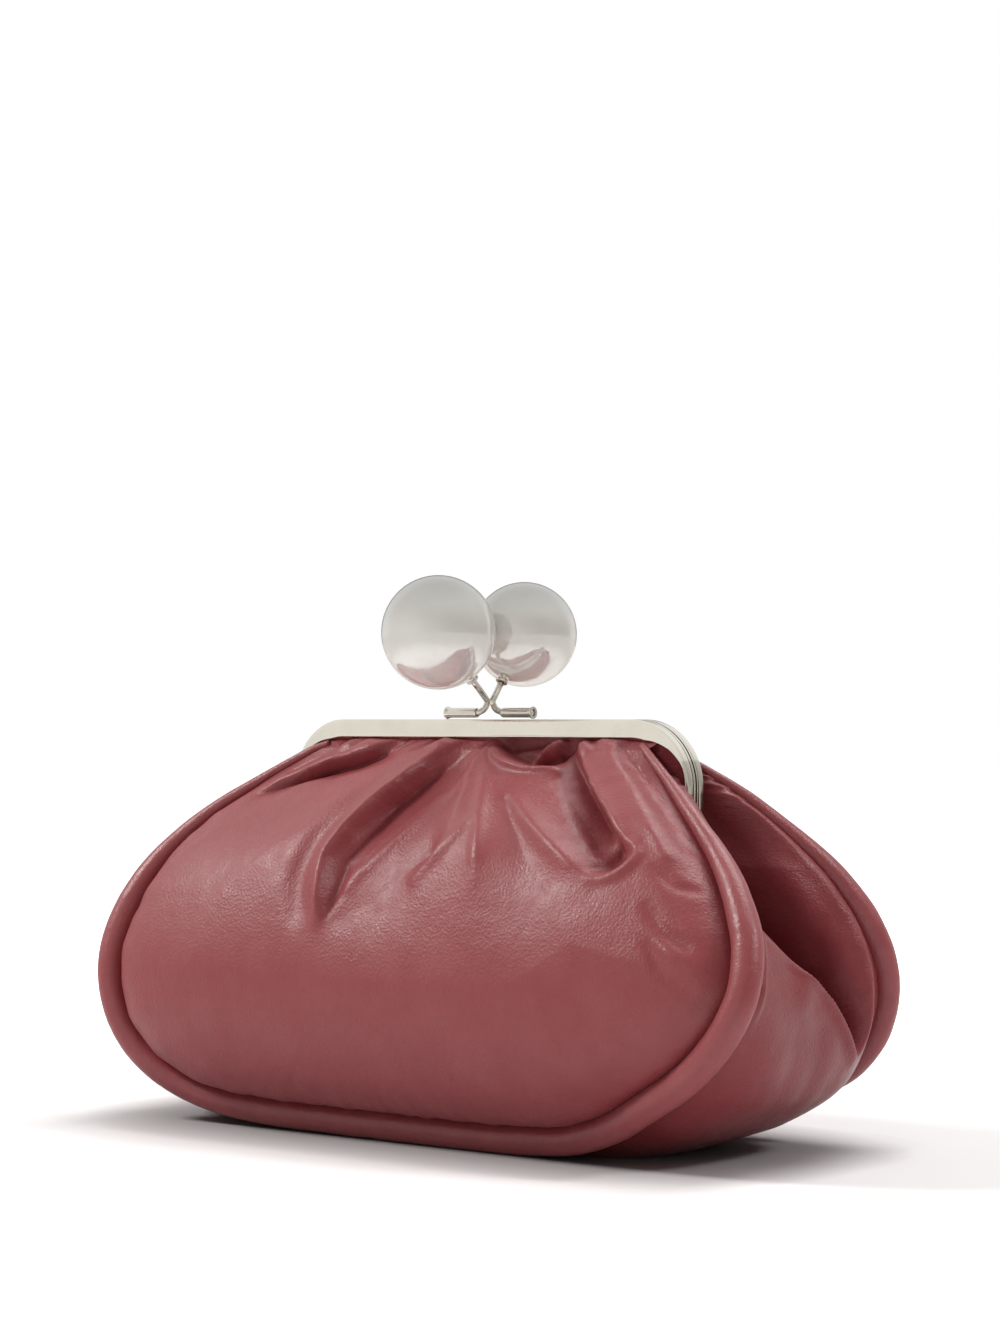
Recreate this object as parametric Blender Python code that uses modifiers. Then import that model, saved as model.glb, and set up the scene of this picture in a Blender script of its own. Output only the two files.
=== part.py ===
"""Kiss-lock clutch bag: a soft leather pouch with fat piping, gathered into a hinged nickel frame.

Metres, +Z up, front faces -Y. The origin is under the middle of the bag, on the surface that it stands on.
The front and rear panels lie on one upright curved sheet each, the panel sheet, which leans in to the frame.
A place on a sheet is given flat, as (x, reach): reach is the distance along the sheet from its foot.
"""
import math

import bmesh
import bpy
import numpy as np
from mathutils import Matrix, Vector

# Overall sizes of the pouch, measured to the middle of the piping
PIPING_HALF_WIDTH = 0.130
PIPING_HALF_DEPTH = 0.0495
PIPING_TOP = 0.129

# Leather, lining and the seams between them
LEATHER = 0.0014
LINING = 0.0006
SEAM_GAP = 0.0004
FIT_GAP = 0.0003
CLOTH_GAP = 0.0009
SEAM_SWELL = 0.0065
SEAM_SWELL_RUN = 0.005
WIDE_SWELL = 0.0065
WIDE_SWELL_RUN = 0.045
SWELL_FALL = 0.050
GUSSET_BULGE = 0.0145
BASE_ROUNDING = 0.012
FOLD_START = 0.033
FOLD_GROWTH = 0.014
FOLD_INSET = 0.009
GUSSET_TOP_DROP = 0.008
BOARD = 0.0015
BOARD_HALF_WIDTH = 0.060
BOARD_HALF_DEPTH = 0.024

# Piping
PIPING_RADIUS = 0.005
PIPING_WALL = 0.0012
PIPING_SPLIT_RADIUS = 0.0039
PIPING_END_RADIUS = 0.0013
TAPER_START = 0.075

# Frame halves
FRAME_TOP = 0.139
FRAME_HALF_LENGTH = 0.083
FRAME_CORNER = 0.022
FRAME_BAND = 0.0062
LEG_BAND = 0.0036
FRAME_THICKNESS = 0.0044
FRAME_PARTING = 0.0006
FRAME_WALL = 0.0009
FRAME_EDGE = 0.0005
FRAME_RAIL = 0.0009
FILLER_RADIUS = 0.0011
GATHER_DEPTH_IN_GROOVE = 0.0025
SPLIT_GAP = 0.0006
STRAIGHT_END = 0.0015

# Hinge
HINGE_DROP = 0.042
SPLIT_DROP = 0.0055
EAR_RADIUS = 0.0035
EAR_THICKNESS = 0.0012
EAR_GAP = 0.0004
RIVET_RADIUS = 0.0013
RIVET_CLEARANCE = 0.0003
RIVET_HEAD_RADIUS = 0.0026
RIVET_HEAD = 0.0009

# Clasp
ROD_RADIUS = 0.00105
SLEEVE_RADIUS = 0.00165
SLEEVE_CLEARANCE = 0.0002
SLEEVE_RIM = 0.0003
SLEEVE_LENGTH = 0.0130
SLEEVE_INNER_END = 0.0034
KISS_HEIGHT = 0.0060
KISS_GAP = 0.0004
KISS_BULGE = 0.0005
BALL_HEIGHT = 0.0290
BALL_WALL = 0.0009
FRONT_BALL_RADIUS = 0.0191
REAR_BALL_RADIUS = 0.0179
FRONT_BALL_X = -0.0064
REAR_BALL_X = 0.0023
BALL_GAP = 0.0004
FRONT_BALL_LEAN = 0.0200
COLLAR_RADIUS = 0.0021
COLLAR_LENGTH = 0.0024
ROD_IN_BALL = 0.0030

# One overrun serves all cuts
OVERRUN = 0.002

# The piping's outline: share of the half width, and share of the height from the lowest point to the top
OUTLINE_SHARES = (
    (0.0, 0.0), (0.185, 0.0), (0.477, 0.012), (0.746, 0.081), (0.93, 0.226),
    (0.992, 0.427), (0.925, 0.645), (0.775, 0.823), (0.64, 0.93), (0.53, 1.0),
)
# The panel sheet from the side: share of the height, and share of the half depth
SHEET_SHARES = (
    (0.0, 0.768), (0.16, 0.95), (0.36, 1.0), (0.565, 0.838), (0.766, 0.535), (0.92, 0.26), (1.0, 0.141),
)
# Where the lower corners of the panel's grid lie along the outline, from the middle of the base
CORNER_SHARE = 0.50
GUSSET_CORNER_SHARE = 0.45
GUSSET_TURN_SHARE = 0.25
LINING_EDGE_SHARE = 0.05
# The gusset's bulge: share of the split height, and share of the whole bulge
GUSSET_BULGE_SHARES = ((0.05, 0.72), (0.10, 0.86), (0.22, 1.0), (0.33, 0.90), (0.50, 0.35), (0.68, 0.0))
# The gusset's inward fold, from its start to the split: share of the height, then where its rear crest, valley and
# front crest lie, as shares of the half depth, positive to the rear
GUSSET_FOLD_SHARES = (
    (0.0, 0.60, 0.0, -0.40), (0.20, 0.80, 0.40, 0.10), (0.46, 0.86, 0.30, -0.13), (0.72, 0.90, 0.12, -0.28),
    (1.0, 0.85, 0.0, -0.45),
)

# Counts of faces
SIDE_STEPS = 12
BASE_STEPS = 14
PANEL_ROWS = 10
GATHER_ROWS = 6
GUSSET_ROWS = 10
ARC_STEPS = 6
# Which of the gusset's rows, counted from the rear piping, lie on the fold's rear crest, valley and front crest
FOLD_ROWS = (2, 5, 7)

HINGE_HEIGHT = FRAME_TOP - HINGE_DROP
SPLIT_HEIGHT = HINGE_HEIGHT - SPLIT_DROP
FOLD_INNER_HALF_WIDTH = FRAME_HALF_LENGTH - FOLD_INSET
GUSSET_TOP = PIPING_TOP - GUSSET_TOP_DROP
GATHER_HALF_LENGTH = FRAME_HALF_LENGTH - FRAME_CORNER
LEG_FOOT = HINGE_HEIGHT + EAR_RADIUS + FIT_GAP
BACK_WALL = FRAME_PARTING / 2
HALF_MIDDLE = BACK_WALL + FRAME_THICKNESS / 2
BAND_FOOT = FRAME_TOP - FRAME_BAND
PIPING_FOOT = PIPING_RADIUS
LINING_OUT = -(LEATHER + FIT_GAP)
FRONT, REAR = -1, 1


# Helpers

def clear_scene():
    for item in list(bpy.data.objects):
        bpy.data.objects.remove(item)


def make_collection(name):
    collection = bpy.data.collections.new(name)
    bpy.context.scene.collection.children.link(collection)
    return collection


def make_material(name, color, roughness, metallic=0.0):
    material = bpy.data.materials.new(name)
    material.use_nodes = True
    shader = material.node_tree.nodes["Principled BSDF"]
    shader.inputs["Base Color"].default_value = (*color, 1.0)
    shader.inputs["Roughness"].default_value = roughness
    shader.inputs["Metallic"].default_value = metallic
    return material


def add_object(name, data, finish, collection):
    """A new object in a collection, with a material of its own."""
    item = bpy.data.objects.new(name, data)
    collection.objects.link(item)
    data.materials.append(make_material(name + "_finish", *finish))
    return item


def add_cutter(name, mesh):
    item = bpy.data.objects.new(name, mesh)
    cutters.objects.link(item)
    item.hide_render = True
    item.display_type = "WIRE"
    return item


def shade_round(item):
    item.data.shade_smooth()
    item.data.set_sharp_from_angle(angle=math.radians(40))


def smooth_line(points, steps):
    """A smooth line through the points, with steps pieces between each two."""
    pts = np.array(points, float)
    padded = np.vstack([2 * pts[0] - pts[1], pts, 2 * pts[-1] - pts[-2]])
    line = []
    for i in range(len(pts) - 1):
        a, b, c, d = padded[i:i + 4]
        for t in np.arange(steps) / steps:
            line.append(0.5 * (2 * b + (c - a) * t + (2 * a - 5 * b + 4 * c - d) * t ** 2
                               + (3 * b - a - 3 * c + d) * t ** 3))
    line.append(pts[-1])
    return np.array(line)


def lengths_along(line):
    steps = np.linalg.norm(np.diff(line, axis=0), axis=1)
    return np.concatenate([[0.0], np.cumsum(steps)])


def even_points(line, count, straight=0.0):
    """The line again, as points an equal way apart, and one more a short way in from each end."""
    along = lengths_along(line)
    wanted = np.linspace(0.0, along[-1], count + 1)
    if straight:
        wanted = np.sort(np.append(wanted, [straight, along[-1] - straight]))
    return np.column_stack([np.interp(wanted, along, column) for column in line.T])


def point_at(line, share):
    """The point at a share of the line's length."""
    along = lengths_along(line)
    return np.array([np.interp(share * along[-1], along, column) for column in line.T])


def smooth_share(value):
    value = min(max(value, 0.0), 1.0)
    return value * value * (3 - 2 * value)


# The panel sheet and the outlines on it

def sheet_height(share):
    return PIPING_FOOT + share * (PIPING_TOP - PIPING_FOOT)


def sheet_line():
    """The sheet from the side, as (depth, height), from its foot up into the frame's groove."""
    rows = [(share * PIPING_HALF_DEPTH, sheet_height(height)) for height, share in SHEET_SHARES]
    line = smooth_line(rows, 8)
    depth = HALF_MIDDLE + LEATHER / 2
    return np.vstack([line, [(depth, BAND_FOOT - 2 * FIT_GAP), (depth, BAND_FOOT + GATHER_DEPTH_IN_GROOVE)]])


SHEET = sheet_line()
REACHES = lengths_along(SHEET)
TOP_REACH = REACHES[-1]
MOUTH_REACH = REACHES[-2]
PIPING_REACH = REACHES[-3]


def reach_of(height):
    return float(np.interp(height, SHEET[:, 1], REACHES))


def on_sheet(x, reach, out=0.0):
    """A point on the front sheet, moved out of the bag by out."""
    depth = np.interp(reach, REACHES, SHEET[:, 0])
    height = np.interp(reach, REACHES, SHEET[:, 1])
    step = PIPING_RADIUS / 2
    rise = [np.interp(reach + s, REACHES, column) for column in SHEET.T for s in (-step, step)]
    along = Vector((0.0, -(rise[1] - rise[0]), rise[3] - rise[2])).normalized()
    normal = Vector((1.0, 0.0, 0.0)).cross(along)
    return Vector((x, -depth, height)) + normal * out


def half_outline():
    """The right half of the piping's middle line, flat on the sheet, from the base's middle to the top."""
    points = [(x * PIPING_HALF_WIDTH, sheet_height(z)) for x, z in OUTLINE_SHARES]
    line = smooth_line(points, 8)
    return np.array([(x, reach_of(z)) for x, z in line])


def moved_in(line, distance):
    """The flat line moved to its left, which is into the panel for the right half from its foot up."""
    steps = np.gradient(line, axis=0)
    normals = np.column_stack([-steps[:, 1], steps[:, 0]])
    normals /= np.linalg.norm(normals, axis=1)[:, None]
    return line + normals * np.reshape(distance, (-1, 1))


def cut_at_reach(line, reach):
    """The part of a rising flat line that lies below a reach, ended exactly there."""
    below = line[line[:, 1] < reach]
    x = float(np.interp(reach, line[:, 1], line[:, 0]))
    return np.vstack([below, [(x, reach)]])


def cut_above_reach(line, reach):
    above = line[line[:, 1] > reach]
    x = float(np.interp(reach, line[:, 1], line[:, 0]))
    return np.vstack([[(x, reach)], above])


def piping_radius(reach):
    """The piping's radius: full low down, thinner at the split and thinnest at the frame."""
    places = (TAPER_START, SPLIT_HEIGHT, PIPING_TOP)
    height = np.interp(reach, REACHES, SHEET[:, 1])
    return np.interp(height, places, (PIPING_RADIUS, PIPING_SPLIT_RADIUS, PIPING_END_RADIUS))


def beside_piping(reach):
    """How far from the piping's middle the leather beside it begins."""
    return piping_radius(reach) + SEAM_GAP


OUTLINE = half_outline()
OUTLINE_LENGTHS = lengths_along(OUTLINE)
OUTLINE_STEPS = np.gradient(OUTLINE, axis=0)
SPLIT_REACH = reach_of(SPLIT_HEIGHT)
SPLIT_HALF_WIDTH = float(np.interp(SPLIT_REACH, OUTLINE[:, 1], OUTLINE[:, 0]))


def outline_at(length):
    """The piping's middle at a length from the middle of the base, positive to the right, and its outward way."""
    x, reach = (float(np.interp(abs(length), OUTLINE_LENGTHS, column)) for column in OUTLINE.T)
    run, climb = (float(np.interp(abs(length), OUTLINE_LENGTHS, column)) for column in OUTLINE_STEPS.T)
    hand = math.copysign(1.0, length)
    return hand * x, reach, Vector((hand * climb, 0.0, -run)).normalized()


def distance_to(line, place):
    """The flat distance of a place to a line."""
    starts, runs = line[:-1], np.diff(line, axis=0)
    sizes = np.maximum((runs ** 2).sum(1), np.finfo(float).tiny)
    shares = np.clip(((place - starts) * runs).sum(1) / sizes, 0.0, 1.0)
    return float(np.linalg.norm(starts + runs * shares[:, None] - place, axis=1).min())


def crown(x, reach, edge):
    """How far the stuffed leather stands out of the sheet, at a flat place inside the edge line."""
    inside = distance_to(edge, np.array([abs(x), reach]))
    swell = SEAM_SWELL * (1 - math.exp(-inside / SEAM_SWELL_RUN))
    swell += WIDE_SWELL * min(inside / WIDE_SWELL_RUN, 1.0) ** 0.8
    below_mouth = SHEET[-2, 1] - np.interp(reach, REACHES, SHEET[:, 1])
    return swell * smooth_share(below_mouth / SWELL_FALL) ** 0.7


def coons(left, right, low, high, u, v):
    """A place inside four flat boundary lines, by blending them. Each is a function of a share."""
    sides = (1 - u) * left(v) + u * right(v)
    ends = (1 - v) * low(u) + v * high(u)
    corners = (1 - u) * (1 - v) * low(0) + u * (1 - v) * low(1) + (1 - u) * v * high(0) + u * v * high(1)
    return sides + ends - corners


def mirrored(point):
    return point * np.array([-1.0, 1.0])


def panel_place(inset, out, high_reach):
    """A function of (u, v) for a lower panel's skin: inset from the seam beside the piping, out of the sheet."""
    edge = moved_in(OUTLINE, beside_piping(OUTLINE[:, 1]) + inset)
    edge[:, 0] = np.maximum(edge[:, 0], 0.0)
    corner = int(len(edge) * CORNER_SHARE)
    side = cut_at_reach(edge[corner:], high_reach)
    foot = edge[:corner + 1]
    head = np.array([(0.0, high_reach), side[-1]])

    def low(u):
        found = point_at(foot, abs(2 * u - 1))
        return found if u > 0.5 else mirrored(found)

    def high(u):
        found = point_at(head, abs(2 * u - 1))
        return found if u > 0.5 else mirrored(found)

    def place(u, v):
        x, reach = coons(lambda s: mirrored(point_at(side, s)), lambda s: point_at(side, s), low, high, u, v)
        return on_sheet(x, reach, out + crown(x, reach, edge))

    return place


def gather_place(inset, out, rows):
    """The same for the gathered part above, whose rows lie at the given reaches."""
    edge = moved_in(OUTLINE, beside_piping(OUTLINE[:, 1]) + inset)
    width = GATHER_HALF_LENGTH - inset
    edge = np.vstack([edge, [(width, MOUTH_REACH), (width, TOP_REACH)]])
    shares = np.linspace(0.0, 1.0, len(rows))

    def place(u, v):
        reach = float(np.interp(v, shares, rows))
        x = (2 * u - 1) * float(np.interp(reach, edge[:, 1], edge[:, 0]))
        return on_sheet(x, reach, out + crown(x, reach, edge))

    return place


def rear_of(place):
    """The same skin on the rear sheet. It runs the other way across, so that it still faces out."""
    def moved(u, v):
        point = place(1 - u, v)
        return Vector((point.x, -point.y, point.z))
    return moved


# Makers of the kinds of piece that the bag has

def grid_piece(name, columns, rows, place, thickness, finish, collection, inset=None):
    """A sheet laid on a function of (u, v), thickened inwards. inset, of a point, moves it inwards first."""
    work = bmesh.new()
    bmesh.ops.create_grid(work, x_segments=columns, y_segments=rows, size=1.0)
    for vertex in work.verts:
        vertex.co = place((vertex.co.x + 1) / 2, (vertex.co.y + 1) / 2)
    if inset:
        work.normal_update()
        moves = [vertex.normal * inset(vertex.co) * vertex.calc_shell_factor() for vertex in work.verts]
        for vertex, move in zip(work.verts, moves):
            vertex.co -= move
    mesh = bpy.data.meshes.new(name)
    work.to_mesh(mesh)
    work.free()
    item = add_object(name, mesh, finish, collection)
    wall = item.modifiers.new("thickness", "SOLIDIFY")
    wall.thickness = thickness
    wall.offset = -1.0
    wall.use_even_offset = True
    shade_round(item)
    return item


def tube_curve(name, line, radius, sides_resolution, caps=True, radii=None):
    """A curve with a round section along the line."""
    curve = bpy.data.curves.new(name, "CURVE")
    curve.dimensions = "3D"
    curve.bevel_depth = radius
    curve.bevel_resolution = sides_resolution
    curve.use_fill_caps = caps
    spline = curve.splines.new("POLY")
    spline.points.add(len(line) - 1)
    for i, point in enumerate(line):
        spline.points[i].co = (*point, 1.0)
        if radii is not None:
            spline.points[i].radius = radii[i] / radius
    return curve


def curve_to_mesh(name, curve, weld):
    """The curve as a mesh whose loose caps are welded."""
    holder = bpy.data.objects.new(name + "_guide", curve)
    bpy.context.scene.collection.objects.link(holder)
    graph = bpy.context.evaluated_depsgraph_get()
    mesh = bpy.data.meshes.new_from_object(holder.evaluated_get(graph))
    bpy.data.objects.remove(holder)
    mesh.name = name
    work = bmesh.new()
    work.from_mesh(mesh)
    bmesh.ops.remove_doubles(work, verts=work.verts, dist=weld)
    bmesh.ops.recalc_face_normals(work, faces=work.faces)
    work.to_mesh(mesh)
    work.free()
    return mesh


def flat_outlines(name, outlines, thickness):
    """Closed outlines in X and Z, the inner ones holes, as a plate centred on Y zero."""
    curve = bpy.data.curves.new(name, "CURVE")
    curve.dimensions = "2D"
    curve.fill_mode = "BOTH"
    curve.extrude = thickness / 2
    for points in outlines:
        spline = curve.splines.new("POLY")
        spline.points.add(len(points) - 1)
        for i, (x, z) in enumerate(points):
            spline.points[i].co = (x, z, 0.0, 1.0)
        spline.use_cyclic_u = True
    mesh = curve_to_mesh(name, curve, FRAME_EDGE / 50)
    mesh.transform(Matrix.Rotation(math.radians(90), 4, "X"))
    return mesh


def turned(name, profile, steps, finish, collection, closed=False):
    """A profile of (radius, height) points turned about Z. It runs down its outer side."""
    edges = [(i, i + 1) for i in range(len(profile) - 1)]
    if closed:
        edges.append((len(profile) - 1, 0))
    mesh = bpy.data.meshes.new(name)
    mesh.from_pydata([(radius, 0.0, height) for radius, height in profile], edges, [])
    item = add_object(name, mesh, finish, collection)
    screw = item.modifiers.new("turn", "SCREW")
    screw.steps = steps
    screw.render_steps = steps
    screw.use_merge_vertices = True
    screw.merge_threshold = FRAME_EDGE / 50
    screw.use_smooth_shade = True
    return item


def cut(item, cutter, operation="DIFFERENCE"):
    step = item.modifiers.new(cutter.name, "BOOLEAN")
    step.object = cutter
    step.operation = operation
    step.solver = "EXACT"


def box_mesh(name, low, high):
    work = bmesh.new()
    bmesh.ops.create_cube(work, size=1.0)
    low, high = Vector(low), Vector(high)
    size, middle = high - low, (high + low) / 2
    for vertex in work.verts:
        vertex.co = Vector((vertex.co.x * size.x, vertex.co.y * size.y, vertex.co.z * size.z)) + middle
    mesh = bpy.data.meshes.new(name)
    work.to_mesh(mesh)
    work.free()
    return mesh


# Finishes: colour, roughness and metallic value

LEATHER_FINISH = ((0.30, 0.078, 0.085), 0.45)
PIPING_FINISH = ((0.31, 0.085, 0.092), 0.42)
CORD_FINISH = ((0.62, 0.58, 0.50), 0.9)
LINING_FINISH = ((0.16, 0.05, 0.055), 0.85)
BOARD_FINISH = ((0.42, 0.36, 0.28), 0.9)
FRAME_FINISH = ((0.80, 0.78, 0.72), 0.22, 1.0)
ROD_FINISH = ((0.72, 0.70, 0.66), 0.15, 1.0)
BALL_FINISH = ((0.80, 0.79, 0.76), 0.08, 1.0)


# The pouch

def gather_rows():
    """Reaches of the gathered part's rows: up to the piping's top, to the frame's mouth and into its groove."""
    low = SPLIT_REACH + SEAM_GAP / 2
    return [*np.linspace(low, PIPING_REACH, GATHER_ROWS - 1), MOUTH_REACH, TOP_REACH]


def make_panels():
    """Front and rear leather, each as the pouch's part and the gathered part that the frame half holds."""
    lower = panel_place(0.0, 0.0, SPLIT_REACH - SEAM_GAP / 2)
    upper = gather_place(0.0, 0.0, gather_rows())
    grid_piece("front_panel", BASE_STEPS, PANEL_ROWS, lower, LEATHER, LEATHER_FINISH, parts)
    grid_piece("rear_panel", BASE_STEPS, PANEL_ROWS, rear_of(lower), LEATHER, LEATHER_FINISH, parts)
    grid_piece("front_gather", BASE_STEPS, GATHER_ROWS, upper, LEATHER, LEATHER_FINISH, parts)
    grid_piece("rear_gather", BASE_STEPS, GATHER_ROWS, rear_of(upper), LEATHER, LEATHER_FINISH, parts)


def make_linings():
    """Cloth behind both panels. Its upper parts end below the frame's mouth."""
    rows = gather_rows()[:-2]
    lower = panel_place(LEATHER, LINING_OUT, SPLIT_REACH - SEAM_GAP / 2)
    upper = gather_place(LEATHER, LINING_OUT, rows)
    grid_piece("lining_front", BASE_STEPS, PANEL_ROWS, lower, LINING, LINING_FINISH, parts)
    grid_piece("lining_rear", BASE_STEPS, PANEL_ROWS, rear_of(lower), LINING, LINING_FINISH, parts)
    grid_piece("lining_front_top", BASE_STEPS, len(rows) - 1, upper, LINING, LINING_FINISH, parts)
    grid_piece("lining_rear_top", BASE_STEPS, len(rows) - 1, rear_of(upper), LINING, LINING_FINISH, parts)


def piping_lines():
    """The piping's middle line, flat: the whole of it below the split, and its right end above."""
    half = cut_at_reach(OUTLINE, SPLIT_REACH - SPLIT_GAP / 2)
    whole = np.vstack([half[::-1] * np.array([-1.0, 1.0]), half[1:]])
    end = cut_above_reach(OUTLINE, SPLIT_REACH + SPLIT_GAP / 2)
    return (even_points(whole, 2 * SIDE_STEPS + BASE_STEPS, STRAIGHT_END),
            even_points(end, SIDE_STEPS // 2, STRAIGHT_END))


def make_pipings():
    """Each piping is a leather tube round a cord, and its ends taper up into the frame's corners."""
    flat, ends = piping_lines()
    radii = piping_radius(flat[:, 1])
    cores = radii - PIPING_WALL - 2 * FIT_GAP
    for side, word in ((FRONT, "front"), (REAR, "rear")):
        turn = np.array([1.0, -side, 1.0])
        line = [np.array(on_sheet(x, reach)) * turn for x, reach in flat]
        cover = curve_to_mesh(word + "_piping", tube_curve("cover", line, PIPING_RADIUS, 2, False, radii),
                              FRAME_EDGE / 50)
        item = add_object(word + "_piping", cover, PIPING_FINISH, parts)
        wall = item.modifiers.new("thickness", "SOLIDIFY")
        wall.thickness = PIPING_WALL
        wall.offset = -1.0
        shade_round(item)
        core = curve_to_mesh(word + "_piping_core", tube_curve("core", line, PIPING_RADIUS, 1, True, cores),
                             FRAME_EDGE / 50)
        shade_round(add_object(word + "_piping_core", core, CORD_FINISH, parts))
        for hand, end in ((-1, "left"), (1, "right")):
            name = word + "_piping_end_" + end
            run = [np.array(on_sheet(x * hand, reach)) * turn for x, reach in ends]
            tip = curve_to_mesh(name, tube_curve(name, run, PIPING_RADIUS, 2, True, piping_radius(ends[:, 1])),
                                FRAME_EDGE / 50)
            shade_round(add_object(name, tip, PIPING_FINISH, parts))


def fold_rise(height):
    """How far the gusset's inward fold has grown at a height: none low down, all of it at the split."""
    return smooth_share((height - FOLD_START) / (SPLIT_HEIGHT - FOLD_START))


def fold_places(height):
    """Where the fold's rear crest, valley and front crest lie across the gusset at a height."""
    share = (height - FOLD_START) / (SPLIT_HEIGHT - FOLD_START)
    rows = np.array(GUSSET_FOLD_SHARES)
    return [float(np.interp(share, rows[:, 0], column)) for column in rows.T[1:]]


def fold_slope(share):
    """The fold's depth on the way from a crest to the valley: round at the crest and sharp in the valley."""
    share = min(max(share, 0.0), 1.0)
    return 0.35 * smooth_share(share) + 0.65 * share ** 1.6


def gusset_skin(edge_point, outward, v):
    """A point of the gusset, from the place of its front edge and the share of the way to the front."""
    rear, valley, front = fold_places(edge_point.z)
    stops = [0.0, *(row / GUSSET_ROWS for row in FOLD_ROWS), 1.0]
    across = float(np.interp(v, stops, (1.0, rear, valley, front, -1.0)))
    bulge = GUSSET_BULGE * float(np.interp(edge_point.z / SPLIT_HEIGHT, *np.array(GUSSET_BULGE_SHARES).T))
    side = outward * bulge * (1 - abs(across) ** 6)
    point = Vector((edge_point.x, -edge_point.y * across, edge_point.z)) + side
    slope = (rear - across) / (rear - valley) if across > valley else (across - front) / (valley - front)
    deep = fold_slope(slope) * smooth_share((edge_point.z - FOLD_START) / FOLD_GROWTH)
    floor = abs(edge_point.x) - (SPLIT_HALF_WIDTH - FOLD_INNER_HALF_WIDTH) * fold_rise(edge_point.z)
    point.x += (math.copysign(floor, point.x) - point.x) * deep
    point.z = max(point.z, 0.0)
    return point


def gusset_place(lengths):
    """A function of (u, v) for the gusset: u runs to the right along the outline's lengths, v to the front."""
    shares = np.linspace(0.0, 1.0, len(lengths))

    def place(u, v):
        x, reach, outward = outline_at(float(np.interp(u, shares, lengths)))
        tuck = beside_piping(reach) + LEATHER * fold_rise(on_sheet(x, reach).z)
        return gusset_skin(on_sheet(x, reach, -tuck), outward, v)

    return place


def without_edges(place, rows, margin):
    """The same skin with a margin left out at both edges, still flat between its outer rows."""
    def moved(u, v):
        if min(v, 1 - v) > 0.5 / rows:
            return place(u, v)
        edge, next_row = (0.0, 1 / rows) if v < 0.5 else (1.0, 1 - 1 / rows)
        return place(u, edge).lerp(place(u, next_row), margin * rows)
    return moved


def lining_inset(point):
    """The lining lies on the board at the base and on the leather further up."""
    on_board = LEATHER + BOARD + 2 * FIT_GAP
    on_leather = LEATHER + CLOTH_GAP
    rise = smooth_share((point.z - PIPING_RADIUS) / (BASE_ROUNDING - PIPING_RADIUS))
    return on_board + (on_leather - on_board) * rise


def make_gusset():
    """One strip in reality, made as its base and its two folded sides, with the lining and the board."""
    corner = OUTLINE_LENGTHS[-1] * GUSSET_CORNER_SHARE
    top = float(np.interp(SPLIT_REACH - SEAM_GAP / 2, OUTLINE[:, 1], OUTLINE_LENGTHS))
    base = np.linspace(SEAM_GAP / 2 - corner, corner - SEAM_GAP / 2, BASE_STEPS + 1)
    right = np.linspace(corner + SEAM_GAP / 2, top, SIDE_STEPS + 1)
    left = -right[::-1]
    for name, lengths in (("gusset_base", base), ("gusset_left", left), ("gusset_right", right)):
        grid_piece(name, len(lengths) - 1, GUSSET_ROWS, gusset_place(lengths), LEATHER, LEATHER_FINISH, parts)
    lengths = np.concatenate([left, base[1:-1], right])
    lined = without_edges(gusset_place(lengths), GUSSET_ROWS, LINING_EDGE_SHARE)
    grid_piece("lining_gusset", len(lengths) - 1, GUSSET_ROWS, lined, LINING, LINING_FINISH, parts, lining_inset)
    low = (-BOARD_HALF_WIDTH, -BOARD_HALF_DEPTH, LEATHER + FIT_GAP)
    high = (BOARD_HALF_WIDTH, BOARD_HALF_DEPTH, LEATHER + FIT_GAP + BOARD)
    add_object("base_board", box_mesh("base_board", low, high), BOARD_FINISH, parts)


def gusset_top_place(side, u, v):
    """The gusset beside a frame leg: u from the piping over the fold's crest to the leg, v up."""
    foot = SPLIT_REACH + SEAM_GAP / 2 + LEATHER
    reach = foot + v * (reach_of(GUSSET_TOP) - foot)
    x = float(np.interp(reach, OUTLINE[:, 1], OUTLINE[:, 0]))
    outer = on_sheet(x, reach, -(beside_piping(reach) + LEATHER))
    lean = smooth_share(v / GUSSET_TURN_SHARE)
    inner_depth = BACK_WALL + (FRAME_THICKNESS + LEATHER) * lean
    rear, _, front = GUSSET_FOLD_SHARES[-1][1:]
    crest, row = (-front, FOLD_ROWS[2]) if side == FRONT else (rear, GUSSET_ROWS - FOLD_ROWS[0])
    start = 2 * (GUSSET_ROWS - row) / GUSSET_ROWS
    share = float(np.interp(u, (0.0, start, 1.0), (1.0, crest, 0.0)))
    deep = fold_slope((crest - share) / crest)
    return Vector((outer.x + (FOLD_INNER_HALF_WIDTH - outer.x) * deep,
                   outer.y * share - inner_depth * (1 - share), outer.z))


def make_gusset_tops():
    """Beside each frame leg a small flap of the gusset goes with the frame half."""
    for side, word in ((FRONT, "front"), (REAR, "rear")):
        for hand, end in ((-1, "left"), (1, "right")):
            turn = Vector((hand, -side, 1.0))
            runs_back = hand == side

            def place(u, v):
                return gusset_top_place(side, 1 - u if runs_back else u, v) * turn

            grid_piece(f"gusset_top_{word}_{end}", GUSSET_ROWS // 2, GUSSET_ROWS // 2, place, LEATHER,
                       LEATHER_FINISH, parts)


# The frame

def u_line(half_length, top, corner, foot):
    """A U turned upside down, from its right foot over the top to its left foot."""
    points = [(half_length, foot)]
    for middle, start in ((half_length - corner, 0.0), (corner - half_length, 90.0)):
        for i in range(ARC_STEPS + 1):
            turn = math.radians(start + 90.0 * i / ARC_STEPS)
            points.append((middle + corner * math.cos(turn), top - corner + corner * math.sin(turn)))
    points.append((-half_length, foot))
    return points


def band_at(height):
    """How far the channel reaches in at a height: all the way along the top, less on the legs."""
    rise = smooth_share((height - FRAME_TOP + FRAME_CORNER) / FRAME_CORNER)
    return LEG_BAND + (FRAME_BAND - LEG_BAND) * rise


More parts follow.
